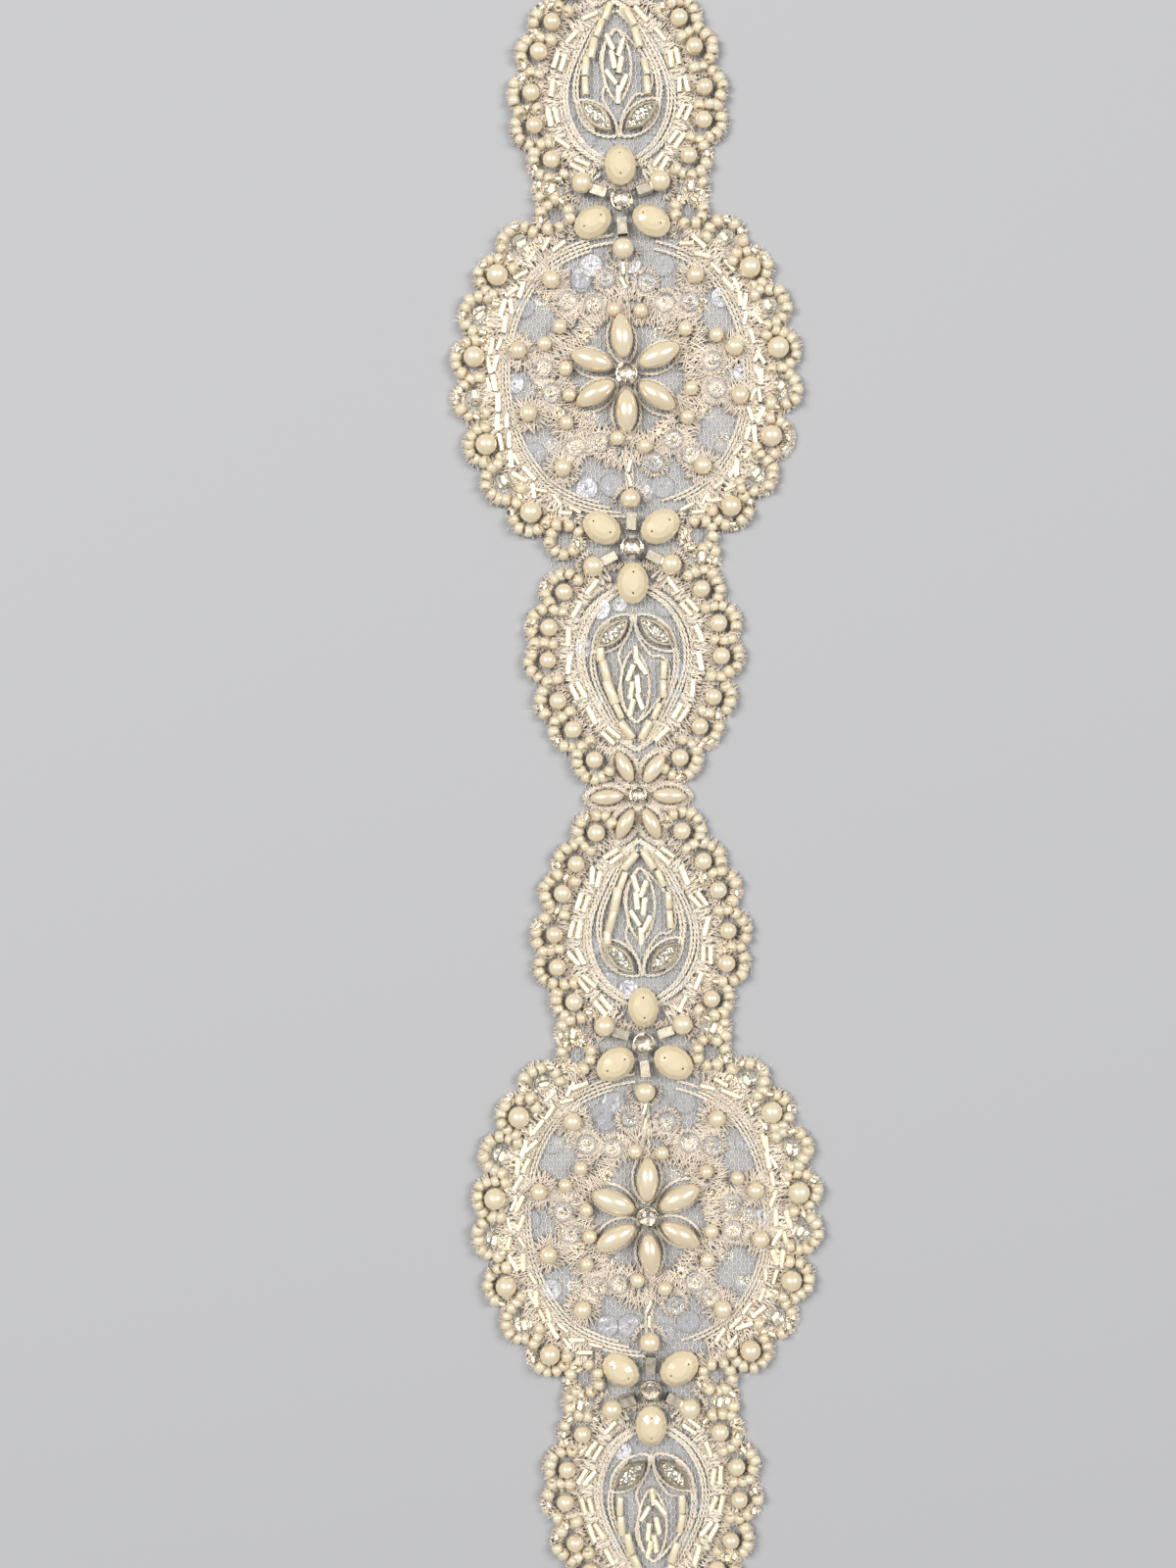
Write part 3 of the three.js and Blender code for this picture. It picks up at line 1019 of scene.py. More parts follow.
# %% [markdown]
# ## Where the bugles lie
#
# Silver-lined bugles lie along the embroidered bands, one at a step or two side by side, every one
# slanted a little over the next. On a round medallion they are sewn in two rows, with some left
# out, and slanted more. A few more fill the small middle leaf of each leaf medallion and stand
# above and below each star. A seeded random number makes each choice, so a hand's unevenness comes
# out the same every time.


# %% Measures: bugles
PAIR_APART = 0.72
# In a leaf medallion's small middle leaf: (out, along, heading in degrees).
MIDDLE_BUGLES = (
    (-0.9, 16.6, 72), (0.7, 17.7, 108), (-0.9, 19.9, 78), (0.7, 21.0, 100),
    (-1.0, 23.2, 60), (1.2, 24.3, 122), (0.2, 26.6, 95),
)
# On a round medallion: (radius at the waist, first step, share of the places that hold one).
ROUND_BUGLES = ((24.5, 0.4, 0.85), (26.0, 1.9, 0.75))
ROUND_BUGLE_PITCH = 3.7
# How much further out both rows lie at the diagonals.
BUGLE_MORE = 2.6
# Above and below the star: (radius, angle).
STAR_BUGLES = ((20.2, 90), (17.4, 90), (17.2, -90), (20.0, -90))


def leaf_bugles(chance):
    rows = []
    for leaf in LEAVES:
        for side in SIDES:
            for spot, heading in walk(line_in(leaf, LEAF_BAND, side, 1.6), LEAF_BUGLE_PITCH, FIRST_BUGLE):
                apart = ways(heading)[1] * PAIR_APART * MM
                lean = heading + chance.uniform(-0.35, 0.35)
                if chance.random() < 0.5:
                    rows.append((spot + apart, lean, chance.uniform(0.9, 1.05)))
                    rows.append((spot - apart, lean + chance.uniform(-0.1, 0.1), chance.uniform(0.85, 1.05)))
                else:
                    rows.append((spot, lean, chance.uniform(0.95, 1.1)))
        for out, along, degrees in MIDDLE_BUGLES:
            nudge = chance.uniform(-0.3, 0.3)
            rows.append((leaf.at(out + nudge, along, 1.4), leaf.heading(degrees + 20 * nudge), 1.0))
    return rows


def round_bugles(chance):
    rows = []
    for ring in ROUNDS:
        for ends in two_arcs(68):
            for waist, start, share in ROUND_BUGLES:
                row = ring_line(ring, waist, BUGLE_MORE, *ends, 1.5)
                for spot, heading in walk(row, ROUND_BUGLE_PITCH, start):
                    if chance.random() < share:
                        aside = ways(heading)[1] * chance.uniform(-0.7, 0.7) * MM
                        slant = heading + chance.uniform(-0.55, 0.55)
                        rows.append((spot + aside, slant, chance.uniform(0.7, 1.05)))
        for radius, angle in STAR_BUGLES:
            turn = ring.heading(angle + chance.uniform(-25, 25))
            rows.append((ring.polar(radius, angle, 1.4), turn, 0.66))
    return rows


bugle_chance = random.Random(5)
BUGLE_ROWS = leaf_bugles(bugle_chance) + round_bugles(bugle_chance)
print("bugles:", len(BUGLE_ROWS))

# %% [markdown]
# ## Silver-lined glass
#
# A bugle is a length of drawn glass tube with silver in its bore, and a clear seed bead is the same
# cut short. One tube with a shiny finish would look like wire. So each is made twice from the same
# points: the clear glass with its hole, and the bright lining inside it. Squat square bugles, lined
# in a greyer silver, join a rosette's crystal to its pearls. A tube with flat sides is turned round
# its own length until it rests on one of them.


# %% Pieces: bugles, square bugles and crystal beads
BUGLE_WALL = [(0.55, -1.65), (0.7, -1.65), (0.7, 1.65), (0.55, 1.65)]
SQUARE_WALL = [(1.32, -1.6), (1.5, -1.6), (1.5, 1.6), (1.32, 1.6)]
BUGLE = lying("bugle", BUGLE_WALL, 12, closed=True, smooth=False)
BUGLE_LINING = lying("bugle_lining", [(0.52, -1.63), (0.52, 1.63)], 12)
SQUARE = lying("square_bugle", SQUARE_WALL, 4, closed=True, smooth=False)
SQUARE_LINING = lying("square_lining", [(1.27, -1.58), (1.27, 1.58)], 4, smooth=False)
LYING_SEED = lying("lying_seed", SEED_PROFILE, 12, closed=True)
LYING_SEED_LINING = lying("lying_seed_lining", [(0.345, -0.55), (0.345, 0.55)], 8)
for tube in (SQUARE, SQUARE_LINING):
    tube.data.transform(Matrix.Rotation(math.pi / 4, 4, "X"))


def lined(name, rows, glass, lining, wobble, silver=LINING):
    """Silver-lined glass: the same rows give the glass and its lining."""
    sew(name, rows, glass, CLEAR_GLASS, "clear_bead", Wobble=wobble)
    sew(name + "_linings", rows, lining, silver, "silver", Wobble=wobble)


def square_rows():
    rows = []
    for rosette in ROSETTE_PLACES:
        rows.append((rosette.at(0, -4.9, 2.2), rosette.heading(90), 1.0))
        for side in SIDES:
            tilt = mirrored(ROSETTE_TILT, side)
            rows.append((rosette.polar(4.7, tilt, 2.2), rosette.heading(tilt), 0.95))
    return rows


crystals_on_edge = [cell[:2] for cell in EDGE if cell[2] == "crystal"]
crystal_bead_rows = [(raised(place, 2.1), math.radians(turn + 75), 1.5) for place, turn in crystals_on_edge]
lined("bugles", BUGLE_ROWS, BUGLE, BUGLE_LINING, 0.1)
lined("square_bugles", square_rows(), SQUARE, SQUARE_LINING, 0.12, GREY_SILVER)
lined("crystal_beads", crystal_bead_rows, LYING_SEED, LYING_SEED_LINING, 0.3)

# %% [markdown]
# ## Rice pearls
#
# The petals of the flowers and stars are rice pearls: long, pointed at both ends and drilled from
# end to end. A stretched ball would have blunt ends, so a slimmer profile is turned for them. Their
# places are the solids of the petals, which they replace, and each points at its own crystal.


# %% Pieces: rice pearls
def pieces_round(centres, kind, word, count):
    """The solids that stand round each centre: (name, centre)."""
    return [
        (f"{kind}_{i}_{word}_{k}", centre)
        for i, centre in enumerate(centres, start=1)
        for k in range(1, count + 1)
    ]


def pointing(node_name, centre):
    """A solid's middle and its direction from a centre."""
    spot = middle(node_name)
    return spot, heading_between(centre, spot)


def rows_round(solids, height):
    rows = []
    for node_name, centre in solids:
        spot, turn = pointing(node_name, centre)
        rows.append((raised(spot, height), turn, 1.0))
    return rows


def rice_profile(length, width):
    """Two tips with a bore at each, and a swelling waist between them."""
    half, waist = length / 2, width / 2
    rows = [(0.0, -half + 0.25), (0.12 * waist, -half)]
    for k in range(1, 12):
        share = k / 12
        rows.append((waist * math.sin(math.pi * share) ** 0.6, -half + length * share))
    return rows + [(0.12 * waist, half), (0.0, half - 0.25)]


def petals(name, solids, length, width, height):
    shape = lying(name + "_shape", rice_profile(length, width), 14)
    names = [node_name for node_name, _ in solids]
    sew(name, rows_round(solids, height), shape, RICE_PEARL, "pearl", names, Wobble=0.06)


STAR_PETALS = pieces_round(STARS, "star", "petal", 6)
FLOWER_PETALS = pieces_round(FLOWERS, "flower", "petal", 6)
petals("star_petals", STAR_PETALS, length=8.6, width=4.2, height=3.3)
petals("flower_petals", FLOWER_PETALS, length=6.5, width=2.9, height=2.75)

# %% [markdown]
# ## Milky stones
#
# Each rosette has three oval stones of milky glass with a cut top: a flat table, rings of facets
# and a low edge. The facets could be cut one at a time, but a profile turned with few sides, left
# flat-shaded and squashed to an oval, has them already. The stones are sewn on through two small
# holes near their ends. A dark spot would only look like a hole from above, so the holes are bored
# right through with a boolean, before the stone is copied.


# %% Piece: milky stones
STONE_PROFILE = [(0.0, 0.0), (3.3, 0.0), (3.95, 0.75), (3.85, 1.3), (2.75, 2.4), (1.45, 2.95), (0.0, 3.0)]
DRILL_PROFILE = [(0.0, -1), (0.2, -1), (0.2, 4), (0.0, 4)]
HOLE_OUT = 1.95


def make_stone():
    holder = hidden(turned("stone", STONE_PROFILE, sides=14, smooth=False, squash=0.76))
    for x in (-HOLE_OUT, HOLE_OUT):
        drill = hidden(turned("drill", DRILL_PROFILE, sides=10))
        drill.data.transform(Matrix.Translation((x * MM, 0, 0)))
        bore = holder.modifiers.new("bore", "BOOLEAN")
        bore.operation = "DIFFERENCE"
        bore.object = drill
        bore.solver = "EXACT"
    graph = bpy.context.evaluated_depsgraph_get()
    bored = bpy.data.meshes.new_from_object(holder.evaluated_get(graph), depsgraph=graph)
    holder.modifiers.clear()
    return hidden(bored)


STONE = make_stone()
STONES = pieces_round(ROSETTES, "rosette", "stone", 3)
stone_names = [node_name for node_name, _ in STONES]
sew("milky_stones", rows_round(STONES, 1.35), STONE, MILKY, "milky_stone", stone_names, Wobble=0.06)

# %% [markdown]
# ## Crystals in cups
#
# The middles of the flowers, stars and rosettes are cut crystals. Each is glass with a flat table
# and rings of facets, over a foil that mirrors the light back, held in a dull cup by four claws.
# Glass alone would show the net through it and never sparkle. So glass, foil, cup and claws are
# made separately, each in its own material, one unit in radius, and scaled to their places.


# %% Pieces: crystals
GLASS_PROFILE = [(0.0, 0.44), (0.42, 0.48), (0.84, 0.62), (0.9, 0.72), (0.66, 0.9), (0.36, 0.98), (0.0, 1.0)]
FOIL_PROFILE = [(0.0, 0.42), (0.42, 0.46), (0.84, 0.6), (0.92, 0.66)]
CUP_PROFILE = [(0.0, 0.0), (0.85, 0.0), (1.0, 0.3), (1.0, 0.72), (0.93, 0.74), (0.93, 0.5), (0.0, 0.2)]
CLAW_WIDE = 0.24
CLAW_THICK = 0.14


def claws(radius, height, count=4):
    """Folded claws round a cup's rim, as one mesh."""
    points, faces = [], []
    line = [(radius, 0.3), (radius * 1.02, height * 0.8), (radius * 0.97, height)]
    line.append((radius * 0.66, height * 1.04))
    for claw in range(count):
        along, across = ways(math.tau * (claw + 0.5) / count)
        first = len(points)
        for out, up in line:
            for thick in (0.0, CLAW_THICK):
                for wide in (-CLAW_WIDE, CLAW_WIDE):
                    points.append(along * (out + thick) + across * wide + Vector((0, 0, up + thick)))
        for a in range(first, first + 12, 4):
            b = a + 4
            faces += [(a, a + 1, b + 1, b), (a + 2, b + 2, b + 3, a + 3)]
            faces += [(a, b, b + 2, a + 2), (a + 1, a + 3, b + 3, b + 1)]
        end = first + 12
        faces += [(first, first + 2, first + 3, first + 1), (end, end + 1, end + 3, end + 2)]
    return mesh_from("claws", points, faces, smooth=False)


KINDS = (("flower", FLOWERS), ("star", STARS), ("rosette", ROSETTES))
CRYSTALS = [f"{kind}_{i + 1}_crystal" for kind, centres in KINDS for i in range(len(centres))]
CRYSTAL_ROWS = []
for crystal in CRYSTALS:
    size, height = (1.56, 1.5) if crystal.startswith("flower") else (2.0, 2.1)
    CRYSTAL_ROWS.append((raised(middle(crystal), height), random.Random(crystal).uniform(0, 1.5), size))

CUT_CRYSTAL = hidden(turned("cut_glass_shape", GLASS_PROFILE, 8, smooth=False))
FOIL = hidden(turned("foil_shape", FOIL_PROFILE, 8, smooth=False))
CUP = hidden(turned("cup_shape", CUP_PROFILE, 20, smooth=False))
CLAWS = hidden(claws(0.98, 0.86))
firm = dict(Size_Spread=0.0, Wobble=0.05)
sew("crystal_glass", CRYSTAL_ROWS, CUT_CRYSTAL, CUT_GLASS, "crystal", CRYSTALS, **firm)
sew("crystal_foils", CRYSTAL_ROWS, FOIL, FOILED, "silver", **firm)
sew("crystal_cups", CRYSTAL_ROWS, CUP, SETTING, "silver", **firm)
sew("crystal_claws", CRYSTAL_ROWS, CLAWS, SETTING, "silver", **firm)

# %% [markdown]
# ## The shape of a leaf stone
#
# Two leaf-shaped stones stand over the middle leaf of each leaf medallion. Each is a boat-shaped
# metal setting, its rim folded over a bed of small bright chips. A bump texture would glitter only
# faintly on so small a stone. So the chips are a bed of real points at uneven heights, flat-shaded
# so that each one catches the light by itself.


# %% Shapes: leaf stones
# The rim, from its foot up, over and in: (length, width, height).
RIM_RINGS = (
    (7.2, 3.0, 0.0), (7.9, 3.7, 0.35), (8.0, 3.8, 1.25), (7.6, 3.4, 1.5), (6.8, 2.6, 1.5), (6.7, 2.5, 1.1)
)
TIP_SHAPE = 0.92


def boat(share, length, width):
    """A point of the boat shape, `share` of the way round it."""
    angle = math.tau * share
    x = math.cos(angle) * length / 2
    if abs(math.sin(angle)) < 1e-6:
        return x, 0.0
    swell = max(0.0, 1 - (2 * x / length) ** 2) ** TIP_SHAPE
    return x, math.copysign(swell * width / 2, math.sin(angle))


def boat_rings(name, rings, sides=28):
    """Boat outlines joined one to the next, and closed at both ends."""
    points, faces = [], []
    for length, width, height in rings:
        points += [(*boat(k / sides, length, width), height) for k in range(sides)]
    for first in range(0, (len(rings) - 1) * sides, sides):
        for k in range(sides):
            a, b = first + k, first + (k + 1) % sides
            faces.append((a, b, b + sides, a + sides))
    # Each long thin end is closed in strips, because one face fills a boat's outline badly.
    for first in (0, (len(rings) - 1) * sides):
        for k in range(sides // 2):
            opposite = first + (sides - k) % sides
            faces.append((first + k, first + k + 1, first + sides - k - 1, opposite))
    return mesh_from(name, points, faces, smooth=False)


def chip_bed(name, length, width, base, seed, columns=27, rows=9):
    chance = random.Random(seed)
    points, faces = [], []
    for i in range(columns):
        x = -0.5 + i / (columns - 1)
        half = 0.5 * max(0.02, 1 - (2 * x) ** 2) ** TIP_SHAPE
        for j in range(rows):
            across = -1 + 2 * j / (rows - 1)
            aside, slip, lift = 0.0, 0.0, base
            if i not in (0, columns - 1) and j not in (0, rows - 1):
                dome = 0.35 * (1 - (2 * x) ** 2) * (1 - across**2)
                lift = base + dome + chance.uniform(-0.08, 0.2)
                aside = chance.uniform(-0.12, 0.12)
                slip = chance.uniform(-0.08, 0.08)
            points.append((x * length + aside, across * half * width + slip, lift))
    for i in range(columns - 1):
        for j in range(rows - 1):
            a = i * rows + j
            if chance.random() < 0.5:
                faces += [(a, a + rows, a + rows + 1), (a, a + rows + 1, a + 1)]
            else:
                faces += [(a, a + rows, a + 1), (a + rows, a + rows + 1, a + 1)]
    return mesh_from(name, points, faces, smooth=False)


RIM = hidden(boat_rings("navette_rim_shape", RIM_RINGS))
BED = hidden(chip_bed("navette_bed_shape", 6.8, 2.6, 1.2, seed=3))
print("a rim has", len(RIM.data.polygons), "faces and a bed", len(BED.data.polygons))

# %% [markdown]
# ## Leaf stones
#
# A leaf stone's place is the middle of its solid, which it replaces. Its direction could be typed
# in, but a leaf stone points away from the top of the stem between the two, so that is worked out.

# %% Pieces: leaf stones
# How far along a leaf medallion the stem ends.
STEM_TOP = 34.6
LEAF_STONES = []
LEAF_STONE_ROWS = []
for i, leaf in enumerate(LEAVES, start=1):
    for word in ("left", "right"):
        LEAF_STONES.append(f"leaf_{i}_navette_{word}")
        spot, turn = pointing(LEAF_STONES[-1], leaf.at(0, STEM_TOP))
        LEAF_STONE_ROWS.append((raised(spot, 1.25), turn, 0.98))

firm = dict(Size_Spread=0.02, Wobble=0.05)
sew("leaf_stone_rims", LEAF_STONE_ROWS, RIM, SETTING, "silver", LEAF_STONES, **firm)
sew("leaf_stone_chips", LEAF_STONE_ROWS, BED, CHIPPED, "silver", **firm)

# %% [markdown]
# ## Cream bugles
#
# Longer cream bugles follow the inner cords of the leaf medallions. They are opaque glass tubes
# with rounded ends. They could be walked along a line too, but they are few and unevenly spaced,
# and the two sides of a medallion differ. So they are listed one by one, in two layouts that take
# turns from flower to flower.


# %% Piece: cream bugles
# (out, along, heading in degrees, share of the full length).
CREAM_A = (
    (-6.4, 27.5, 92, 0.95), (-5.6, 23.7, 102, 1.0), (-4.6, 19.6, 106, 1.1), (-3.3, 16.1, 112, 0.8),
    (-1.8, 12.4, 126, 0.95), (5.5, 23.6, 90, 0.8), (5.3, 20.0, 88, 0.8), (3.9, 15.8, 68, 0.8),
    (1.7, 12.3, 60, 0.95),
)
CREAM_B = (
    (-6.1, 24.7, 90, 0.8), (-5.9, 21.0, 98, 0.85), (-4.5, 17.6, 106, 0.95), (-3.1, 13.8, 112, 0.85),
    (-1.5, 10.7, 112, 0.8), (5.6, 24.9, 86, 0.8), (5.4, 21.3, 82, 0.8), (4.0, 15.8, 74, 0.9),
    (2.8, 11.8, 66, 0.9),
)
CREAM_PROFILE = [(0.3, -2.0), (0.72, -2.1), (0.82, -1.95), (0.82, 1.95), (0.72, 2.1), (0.3, 2.0)]
CREAM_ROWS = [
    (leaf.at(out, along, 1.5), leaf.heading(degrees), share)
    for leaf, layout in zip(LEAVES, (CREAM_B, CREAM_A, CREAM_A, CREAM_B))
    for out, along, degrees, share in layout
]
CREAM_TUBE = lying("cream_tube", CREAM_PROFILE, 8, closed=True)
sew("cream_bugles", CREAM_ROWS, CREAM_TUBE, CREAM_BUGLE, "seed_bead")

# %% [markdown]
# ## Where the sequins lie
#
# Clear sequins come as shallow cups, each held by a clear seed bead in its middle, and as flat
# discs that lie loose on the net in the open windows. A few clear seeds are sewn singly over the
# embroidery of the round medallions too. Each place is measured once, and a seeded random number
# nudges it differently in every medallion.


# %% Measures: sequins and single seeds
# On a round medallion: (radius, angle).
ROUND_CUPS = (
    (14.5, 114.5), (15.8, 60), (18.5, 99.5), (18.2, 77), (18.0, 128.4), (18.3, 47), (16.0, 175), (16.6, 8),
    (16.9, -11), (14.7, 193), (16.3, 233.5), (13.9, 248), (15.1, -55), (17.5, -74), (19.3, -53),
)
ROUND_SEEDS = (
    (16.1, 157), (21.0, 139), (14.4, 205), (19.1, 222), (10.5, 229), (10.7, 132), (10.0, 53),
    (13.1, 17), (16.7, -26), (12.5, -59), (21.9, -33), (19.6, 41), (17.2, 187), (19.0, -2),
)
# (radius, angle, share of the full size).
ROUND_FLATS = (
    (22.3, 106, 1.0), (20.6, 115, 0.9), (22.0, 72, 0.95), (21.2, 84, 0.8), (21.0, -100, 1.0),
    (22.6, -110, 0.9), (21.6, -72, 1.0), (22.5, -82, 0.8), (22.9, 143, 0.85), (23.0, 36, 0.85),
    (22.8, -35, 0.9), (22.6, 218, 0.9), (21.7, 183, 0.8), (21.8, 0, 0.75), (19.0, 114, 0.8),
)
# In a leaf medallion: (out, along).
LEAF_FLATS = (
    (-4.0, 10.6), (-7.9, 18.1), (7.3, 17.3), (-5.8, 35.0),
    (-2.7, 36.4), (6.0, 35.6), (-9.6, 28.5), (9.4, 23.0),
)


def cup_rows():
    chance = random.Random(8)
    rows = []
    for ring in ROUNDS:
        for radius, angle in ROUND_CUPS:
            spot = ring.polar(radius + chance.uniform(-0.4, 0.4), angle + chance.uniform(-1.5, 1.5), 1.15)
            rows.append((spot, chance.uniform(0, 6), 0.95))
    return rows


def flat_rows():
    chance = random.Random(9)
    rows = []
    for ring in ROUNDS:
        for radius, angle, share in ROUND_FLATS:
            spot = ring.polar(radius + chance.uniform(-0.5, 0.5), angle + chance.uniform(-2, 2), 0.8)
            rows.append((spot, chance.uniform(0, 6), share))
    for leaf in LEAVES:
        for out, along in LEAF_FLATS:
            spot = leaf.at(out + chance.uniform(-0.5, 0.5), along + chance.uniform(-0.5, 0.5), 0.7)
            rows.append((spot, chance.uniform(0, 6), chance.uniform(0.75, 1.0)))
    return rows


def single_seed_rows():
    chance = random.Random(12)
    rows = []
    for ring in ROUNDS:
        for radius, angle in ROUND_SEEDS:
            angle += chance.uniform(-2, 2)
            rows.append((ring.polar(radius, angle, 1.7), chance.uniform(0, 6), chance.uniform(0.85, 1.05)))
    return rows


CUP_ROWS = cup_rows()
FLAT_ROWS = flat_rows()
print("cup sequins:", len(CUP_ROWS), "flat sequins:", len(FLAT_ROWS))

# %% [markdown]
# ## Clear sequins
#
# A sequin is punched from thin film, so it is a ring a tenth of a millimetre thick with a hole for
# the thread. Film that thin nearly vanishes on a pale ground, but the cut edge of a real one still
# shows as a fine dark line, partly because the film is seen edge-on there and partly because the
# clear edge bends the light away. It could be drawn in the material, but a hair of film along the
# edge holds up from every side. Its dull grey is painted shade, standing in for the dark line that
# the bent light gives. The hair is a short thread bent into a ring, the same kind of shape as the
# stitches further on.


# %% Pieces: sequins
CUP_FILM = [(0.4, 0.0), (1.2, 0.05), (1.9, 0.55), (1.95, 0.63), (1.2, 0.15), (0.4, 0.1)]
FLAT_FILM = [(0.4, 0.0), (2.2, 0.0), (2.2, 0.1), (0.4, 0.1)]
RIM_RADIUS = 1.95
RIM_HEIGHT = 0.6
# A flat sequin is wider than a cup by this much, and its rim lies lower.
FLAT_OVER_CUP = 1.12
RIM_DROP = Vector((0, 0, 0.55 * MM))
# The bead in a cup stands this far over the cup's own place.
BEAD_LIFT = Vector((0, 0, 0.85 * MM))


def thread(name, line, radius, sides=THREAD_SIDES):
    """A tube of thread along a line of (x, y, z), pointed at both ends."""
    points, faces = [], []
    last = len(line) - 1
    for i, place in enumerate(line):
        before, after = Vector(line[max(i - 1, 0)]), Vector(line[min(i + 1, last)])
        way = (after - before).normalized()
        side = way.cross(Vector((0, 0, 1))).normalized()
        lift = side.cross(way)
        reach = 0.0 if i in (0, last) else radius
        for k in range(sides):
            angle = 2 * math.pi * k / sides + math.pi / 2
            points.append(Vector(place) + side * reach * math.cos(angle) + lift * reach * math.sin(angle))
    for first in range(0, last * sides, sides):
        for k in range(sides):
            a, b = first + k, first + (k + 1) % sides
            faces.append((a, b, b + sides, a + sides))
    return mesh_from(name, points, faces)


rim_turns = [math.tau * k / 18 for k in range(19)]
rim_line = [(math.cos(turn) * RIM_RADIUS, math.sin(turn) * RIM_RADIUS, RIM_HEIGHT) for turn in rim_turns]
SEQUIN_RIM = hidden(thread("sequin_rim_shape", rim_line, 0.075))
CUP_SEQUIN = hidden(turned("cup_sequin", CUP_FILM, 16, closed=True))
FLAT_SEQUIN = hidden(turned("flat_sequin", FLAT_FILM, 18, closed=True, smooth=False))
flat_rims = [(spot - RIM_DROP, turn, share * FLAT_OVER_CUP) for spot, turn, share in FLAT_ROWS]
# The rims carry the film edge's painted shade, a dull grey line round each sequin.
sew("sequin_rims", CUP_ROWS + flat_rims, SEQUIN_RIM, SHADED_FILM_EDGE, "sequin")
sew("cup_sequins", CUP_ROWS, CUP_SEQUIN, SEQUIN, "sequin", Wobble=0.18)
sew("flat_sequins", FLAT_ROWS, FLAT_SEQUIN, SEQUIN, "sequin", Wobble=0.3)

STANDING_SEED = hidden(turned("standing_seed", SEED_PROFILE, 10, closed=True))
STANDING_LINING = hidden(turned("standing_lining", [(0.345, -0.55), (0.345, 0.55)], 6))
cup_beads = [(spot + BEAD_LIFT, turn, 0.95) for spot, turn, _ in CUP_ROWS]
lined("cup_seeds", cup_beads + single_seed_rows(), STANDING_SEED, STANDING_LINING, 0.25)

# %% [markdown]
# ## Satin stitches
#
# The embroidery is worked before any bead goes on. Satin stitches are short threads laid side by
# side across a path, as an embroidery machine lays them. A ribbon with a bump texture would be
# quicker, but flat from the side and too smooth at its edges. So every stitch is a real thread. The
# path's own `half_width` sets how far each one reaches, and every second one leans the other way,
# which gives the zigzag edge of real satin stitch. The threads differ less in length than in
# direction, so the edge stays neat.


# %% Tree: satin stitches
# How far a stitch slips aside, and how much its length changes, for a jitter of 1.
STITCH_SLIP = 0.6 * MM
LENGTH_SHARE = 0.35


def make_satin():
    inputs = {
        "Stitch": "object",
        "Spacing": 0.33 * MM,
        "Lean": 0.3,
        "Jitter": 0.25,
        "Loft": 0.2 * MM,
        "Seed": 21,
    }
    tree, ins, outs = geometry_tree("satin_stitches", inputs)
    path = smooth_path(tree, ins["Geometry"], ins["Spacing"])
    jitter = ins["Jitter"]
    slip = times(tree, either_way(tree, ins, 0, jitter), STITCH_SLIP)
    loose = moved(tree, path, xyz(tree, slip, slip, between(tree, ins, 1, 0.0, ins["Loft"])))
    tangent = {"Vector": node(tree, "GeometryNodeInputTangent")}
    across = node(tree, "FunctionNodeAlignRotationToVector", tangent, axis="Y", pivot_axis="Z")
    # Every second stitch leans the other way.
    index = node(tree, "GeometryNodeInputIndex")
    side = maths(tree, "SUBTRACT", maths(tree, "MODULO", index, 2), 0.5)
    lean = times(tree, times(tree, side, 2), ins["Lean"])
    astray = maths(tree, "ADD", lean, either_way(tree, ins, 2, jitter))
    longer = times(tree, either_way(tree, ins, 3, jitter), LENGTH_SHARE)
    reach = times(tree, named(tree, "half_width"), maths(tree, "ADD", longer, 1))
    turn = turned_by(tree, across, rotation(tree, z=astray))
    copies_on(tree, ins, outs, "Stitch", loose, turn, xyz(tree, reach, 1.0, 1.0))
    return tree


SATIN = make_satin()
print("satin stitches:", len(SATIN.nodes), "nodes")

# %% [markdown]
# ## Bands on the edge and in the leaf medallions
#
# Bands of satin stitch run under the edge beads and the bugles. Each band is a path and a half
# width in millimetres. Every cell of the edge gets its own arc, a little longer than its loop of
# seeds, so that neighbouring arcs run into each other as a scalloped border does.


# %% Measures: bands on the edge and in the leaf medallions
LEAF_TOP = ((10.5, 41.0), (7.0, 42.6), (3.4, 43.4), (0.0, 43.6))
LEAF_OUTER = ((4.6, 7.6), (8.6, 11.2), (12.0, 16.0), (14.1, 21.5), (14.5, 29.0), (13.4, 34.5), (10.6, 39.6))
LEAF_UNDER = ((3.0, 39.6), (5.6, 39.4), (8.6, 37.4), (10.4, 34.6))
ARC_ONE = (
    (1.6, 9.8), (4.6, 12.5), (7.4, 17.3), (9.8, 23.1), (10.2, 27.9), (9.0, 32.2), (6.6, 35.9), (3.2, 38.4)
)
ARC_TWO = ((0.9, 10.2), (3.6, 13.0), (5.8, 17.3), (7.8, 22.0), (8.2, 26.3), (7.0, 30.2), (5.2, 33.0))
# On both sides of a leaf medallion: (line, height, half width).
LEAF_BANDS = ((LEAF_BAND, 0.7, 1.7), (LEAF_OUTER, 0.65, 1.1), (LEAF_TOP, 0.55, 0.9), (LEAF_UNDER, 0.5, 0.6))
# All but the whole way round, so that the two ends of a ring don't lie on each other.
FULL = 178


def edge_bands():
    return [
        (arc_round(place, loop + 0.1, turn, min(sweep + 8, FULL), 0.75), 1.3)
        for place, turn, _, loop, sweep in EDGE
    ]


def leaf_bands():
    made = []
    for leaf in LEAVES:
        for side in SIDES:
            for line, height, half in LEAF_BANDS:
                made.append((line_in(leaf, line, side, height), half))
        made.append((line_in(leaf, ARC_ONE, -1, 0.5), 0.75))
        made.append((line_in(leaf, ARC_TWO, 1, 0.5), 0.4))
    return made


EDGE_BANDS = edge_bands()
LEAF_MEDALLION_BANDS = leaf_bands()
print("bands on the edge:", len(EDGE_BANDS), "and in the leaf medallions:", len(LEAF_MEDALLION_BANDS))

